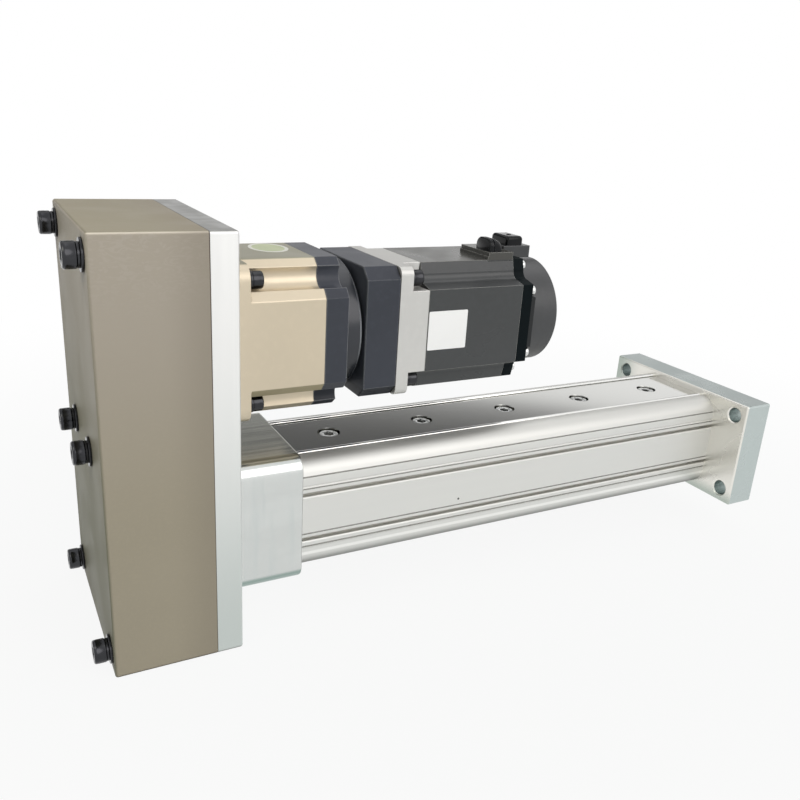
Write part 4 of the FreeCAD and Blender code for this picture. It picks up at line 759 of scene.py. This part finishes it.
def add_screws(finish):
    back, front, up = (-1, 0, 0), (1, 0, 0), (0, 0, 1)
    corner_y, middle_y, low_z, middle_z, high_z = 53, 26.5, -52.5, 56, 166.5
    box = [(COVER_SEAT_X, corner_y * a, z) for a in SIGNS for z in (low_z, high_z)]
    box += [(COVER_SEAT_X, middle_y * a, middle_z) for a in SIGNS]
    rear = around_motor(REAR_SEAT_X, 34.8, 20.8) + around_motor(REAR_SEAT_X, 20.8, 34.8)
    first_x, rail_pitch, rail_count = -340, 70, 5
    rail = [(first_x + rail_pitch * i, 0, RAIL_SEAT_Z) for i in range(rail_count)]
    flange_y, flange_z = 31, 28
    flange = [(FLANGE_SEAT_X, flange_y * a, flange_z * b) for a in SIGNS for b in SIGNS]
    screw_group("cover_screws", 8, 71.5, box, back, finish, "black_screws", BOX_WASHERS, tall=6.4)
    screw_group("gearbox_screws", 6, 26.5, around_motor(GEARBOX_SEAT_X, 35.4, 35.4), front, finish,
                "black_screws", MID_WASHERS)
    screw_group("motor_screws", 6, 23.5, around_motor(MOTOR_SEAT_X, 31.8, 31.8), front, finish,
                "black_screws", MID_WASHERS)
    screw_group("rear_screws", 4, 8, rear, front, finish, "bright_screws")
    screw_group("guide_rail_screws", 8, RAIL_SEAT_Z - RAIL_TIP_Z, rail, up, finish,
                "bright_screws", tall=3.4)
    screw_group("flange_screws", 6, 36, flange, front, finish, "black_screws")


def rounded_box(low, high, radius, steps):
    """A box with rounded upright edges and a rounded top."""
    smallest = 0.05
    base, top = low[2], high[2] - radius
    levels = [(0.0, base), (0.0, top)]
    for i in range(1, steps + 1):
        angle = math.radians(90 * i / steps)
        levels.append((radius * (1 - math.cos(angle)), top + radius * math.sin(angle)))
    rings = []
    for inset, z in levels:
        reach = max(radius - inset, smallest)
        outline = rounded_outline(low[:2], high[:2], radius, reach, steps)
        rings.append([(x, y, z) for x, y in outline])
    return loft(rings)


def arch_ring(x, low, high, base, top, radius, steps=9):
    """An upright arch across Y at one x."""
    points = [(x, low, base)]
    for middle, first in ((low + radius, 180), (high - radius, 90)):
        for i in range(steps + 1):
            angle = math.radians(first - 90 * i / steps)
            across, rise = radius * math.cos(angle), radius * math.sin(angle)
            points.append((x, middle + across, top - radius + rise))
    points.append((x, high, base))
    return points


def add_connectors(finish):
    low, high, base, top, bend = -24, -7, 156.5, 164.5, 4.8
    power = loft([arch_ring(x, low + side, high - side, base, top - drop, bend)
                  for x, side, drop in POWER_PLUG])
    shell = rounded_box((-220.9, -11.5, 158), (-207.6, 8, 164.1), 2.4, steps=6)
    knob_x, knob_y, knob_steps = -214.2, -3, 32
    knob = loft([[(knob_x + x, knob_y + y, z) for x, y, z in circle(radius, height, knob_steps)]
                 for radius, height in KNOB])
    plugs = (("power_plug", power, 38), ("signal_plug", join([shell, knob]), 50))
    for name, shape, crease in plugs:
        made = piece(name, shape, finish["black_plastic"], "frame", crease)
        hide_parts(name)


def add_rod_thread(finish):
    """The ridge of the internal thread in the rod end, as one helix."""
    pitch, depth, radius, mouth, turns, steps = 1.5, 0.9, 10.0, 29.0, 21, 40
    root, crest = 0.5 * pitch, 0.06 * pitch
    section = ((radius, root), (radius - depth, crest), (radius - depth, -crest), (radius, -root))
    rings = []
    for i in range(turns * steps + 1):
        angle = 2 * math.pi * i / steps
        across, rise = math.cos(angle), math.sin(angle)
        x = mouth - pitch * i / steps
        rings.append([(x + shift, r * across, r * rise) for r, shift in section])
    piece("rod_end_thread", loft(rings), finish["rod_chrome"], "rod")


def add_label():
    """A blank white label on the near face of the motor."""
    paper = Finish("label_white", (0.97, 0.97, 0.96), 0.42, 0.6)
    paper.tint(paper.ramp(paper.noise(60, 4), 0.35, 0.7, high=0.6), (0.94, 0.94, 0.93))
    paper.bump(paper.noise(1800, 3), 10)
    low, high, radius = (-293.4, 99.75), (-265.8, 124.25), 0.8
    sunk, proud = MOTOR_NEAR_Y + 0.02, MOTOR_NEAR_Y - 0.14
    outline = rounded_outline(low, high, radius, radius, steps=4)
    rings = [[(x, y, z) for x, z in outline] for y in (sunk, proud)]
    piece("motor_label", loft(rings), paper.done(), "frame")


def add_sticker():
    """A plain oval sticker with a pale border on the gearbox roof."""
    x0, y0, half_x, half_y, count = -379.5, 8, 11.5, 15.5, 72
    sunk, proud = GEARBOX_TOP_Z - 0.02, GEARBOX_TOP_Z + 0.12
    film = Finish("sticker_green", (0.56, 0.62, 0.36), 0.35)
    squeeze = film.add("ShaderNodeMapping", vector_type="POINT")
    squeeze.inputs["Location"].default_value = (-x0 / half_x, -y0 / half_y, 0)
    squeeze.inputs["Scale"].default_value = (1 / (half_x * MM), 1 / (half_y * MM), 0)
    film.feed(film.place, squeeze.inputs["Vector"])
    from_middle = film.add("ShaderNodeVectorMath", operation="LENGTH")
    film.feed(squeeze.outputs[0], from_middle.inputs[0])
    film.tint(film.ramp(film.noise(90, 3), 0.35, 0.7), (0.47, 0.55, 0.3))
    border = film.ramp(from_middle.outputs["Value"], 0.8, 0.84)
    film.tint(border, (0.8, 0.81, 0.74))
    film.bump(film.noise(1500, 2), 10)
    rings = [[(x0 + half_x * u, y0 + half_y * v, z) for u, v, z in circle(1.0, height, count)]
             for height in (sunk, proud)]
    piece("gearbox_sticker", loft(rings), film.done(), "frame")


def modify(node, name, kind, **settings):
    modifier = node.modifiers.new(name, kind)
    for key, value in settings.items():
        setattr(modifier, key, value)


def dress_nodes(finish):
    """Every CAD node gets its finish, and the outer ones get softened edges."""
    for part in frame["record"]["subparts"]:
        materials = nodes[part["node"]].data.materials
        materials.clear()
        materials.append(finish.get(part["node"], finish[part["material_slot"]]))
    for name, width in EDGE_WIDTHS.items():
        node = nodes[name]
        modify(node, "weld", "WELD", merge_threshold=WELD_REACH)
        modify(node, "flat", "DECIMATE", decimate_type="DISSOLVE",
               angle_limit=math.radians(FLAT_ANGLE))
        modify(node, "edges", "BEVEL", width=width * MM, segments=EDGE_SEGMENTS,
               limit_method="ANGLE", angle_limit=math.radians(EDGE_ANGLE),
               use_clamp_overlap=False)
        modify(node, "normals", "WEIGHTED_NORMAL", keep_sharp=True)


set_camera()
set_world()
set_lamps()
add_floor()
finishes = make_finishes()
dress_nodes(finishes)
add_screws(finishes)
add_connectors(finishes)
add_rod_thread(finishes)
add_label()
add_sticker()
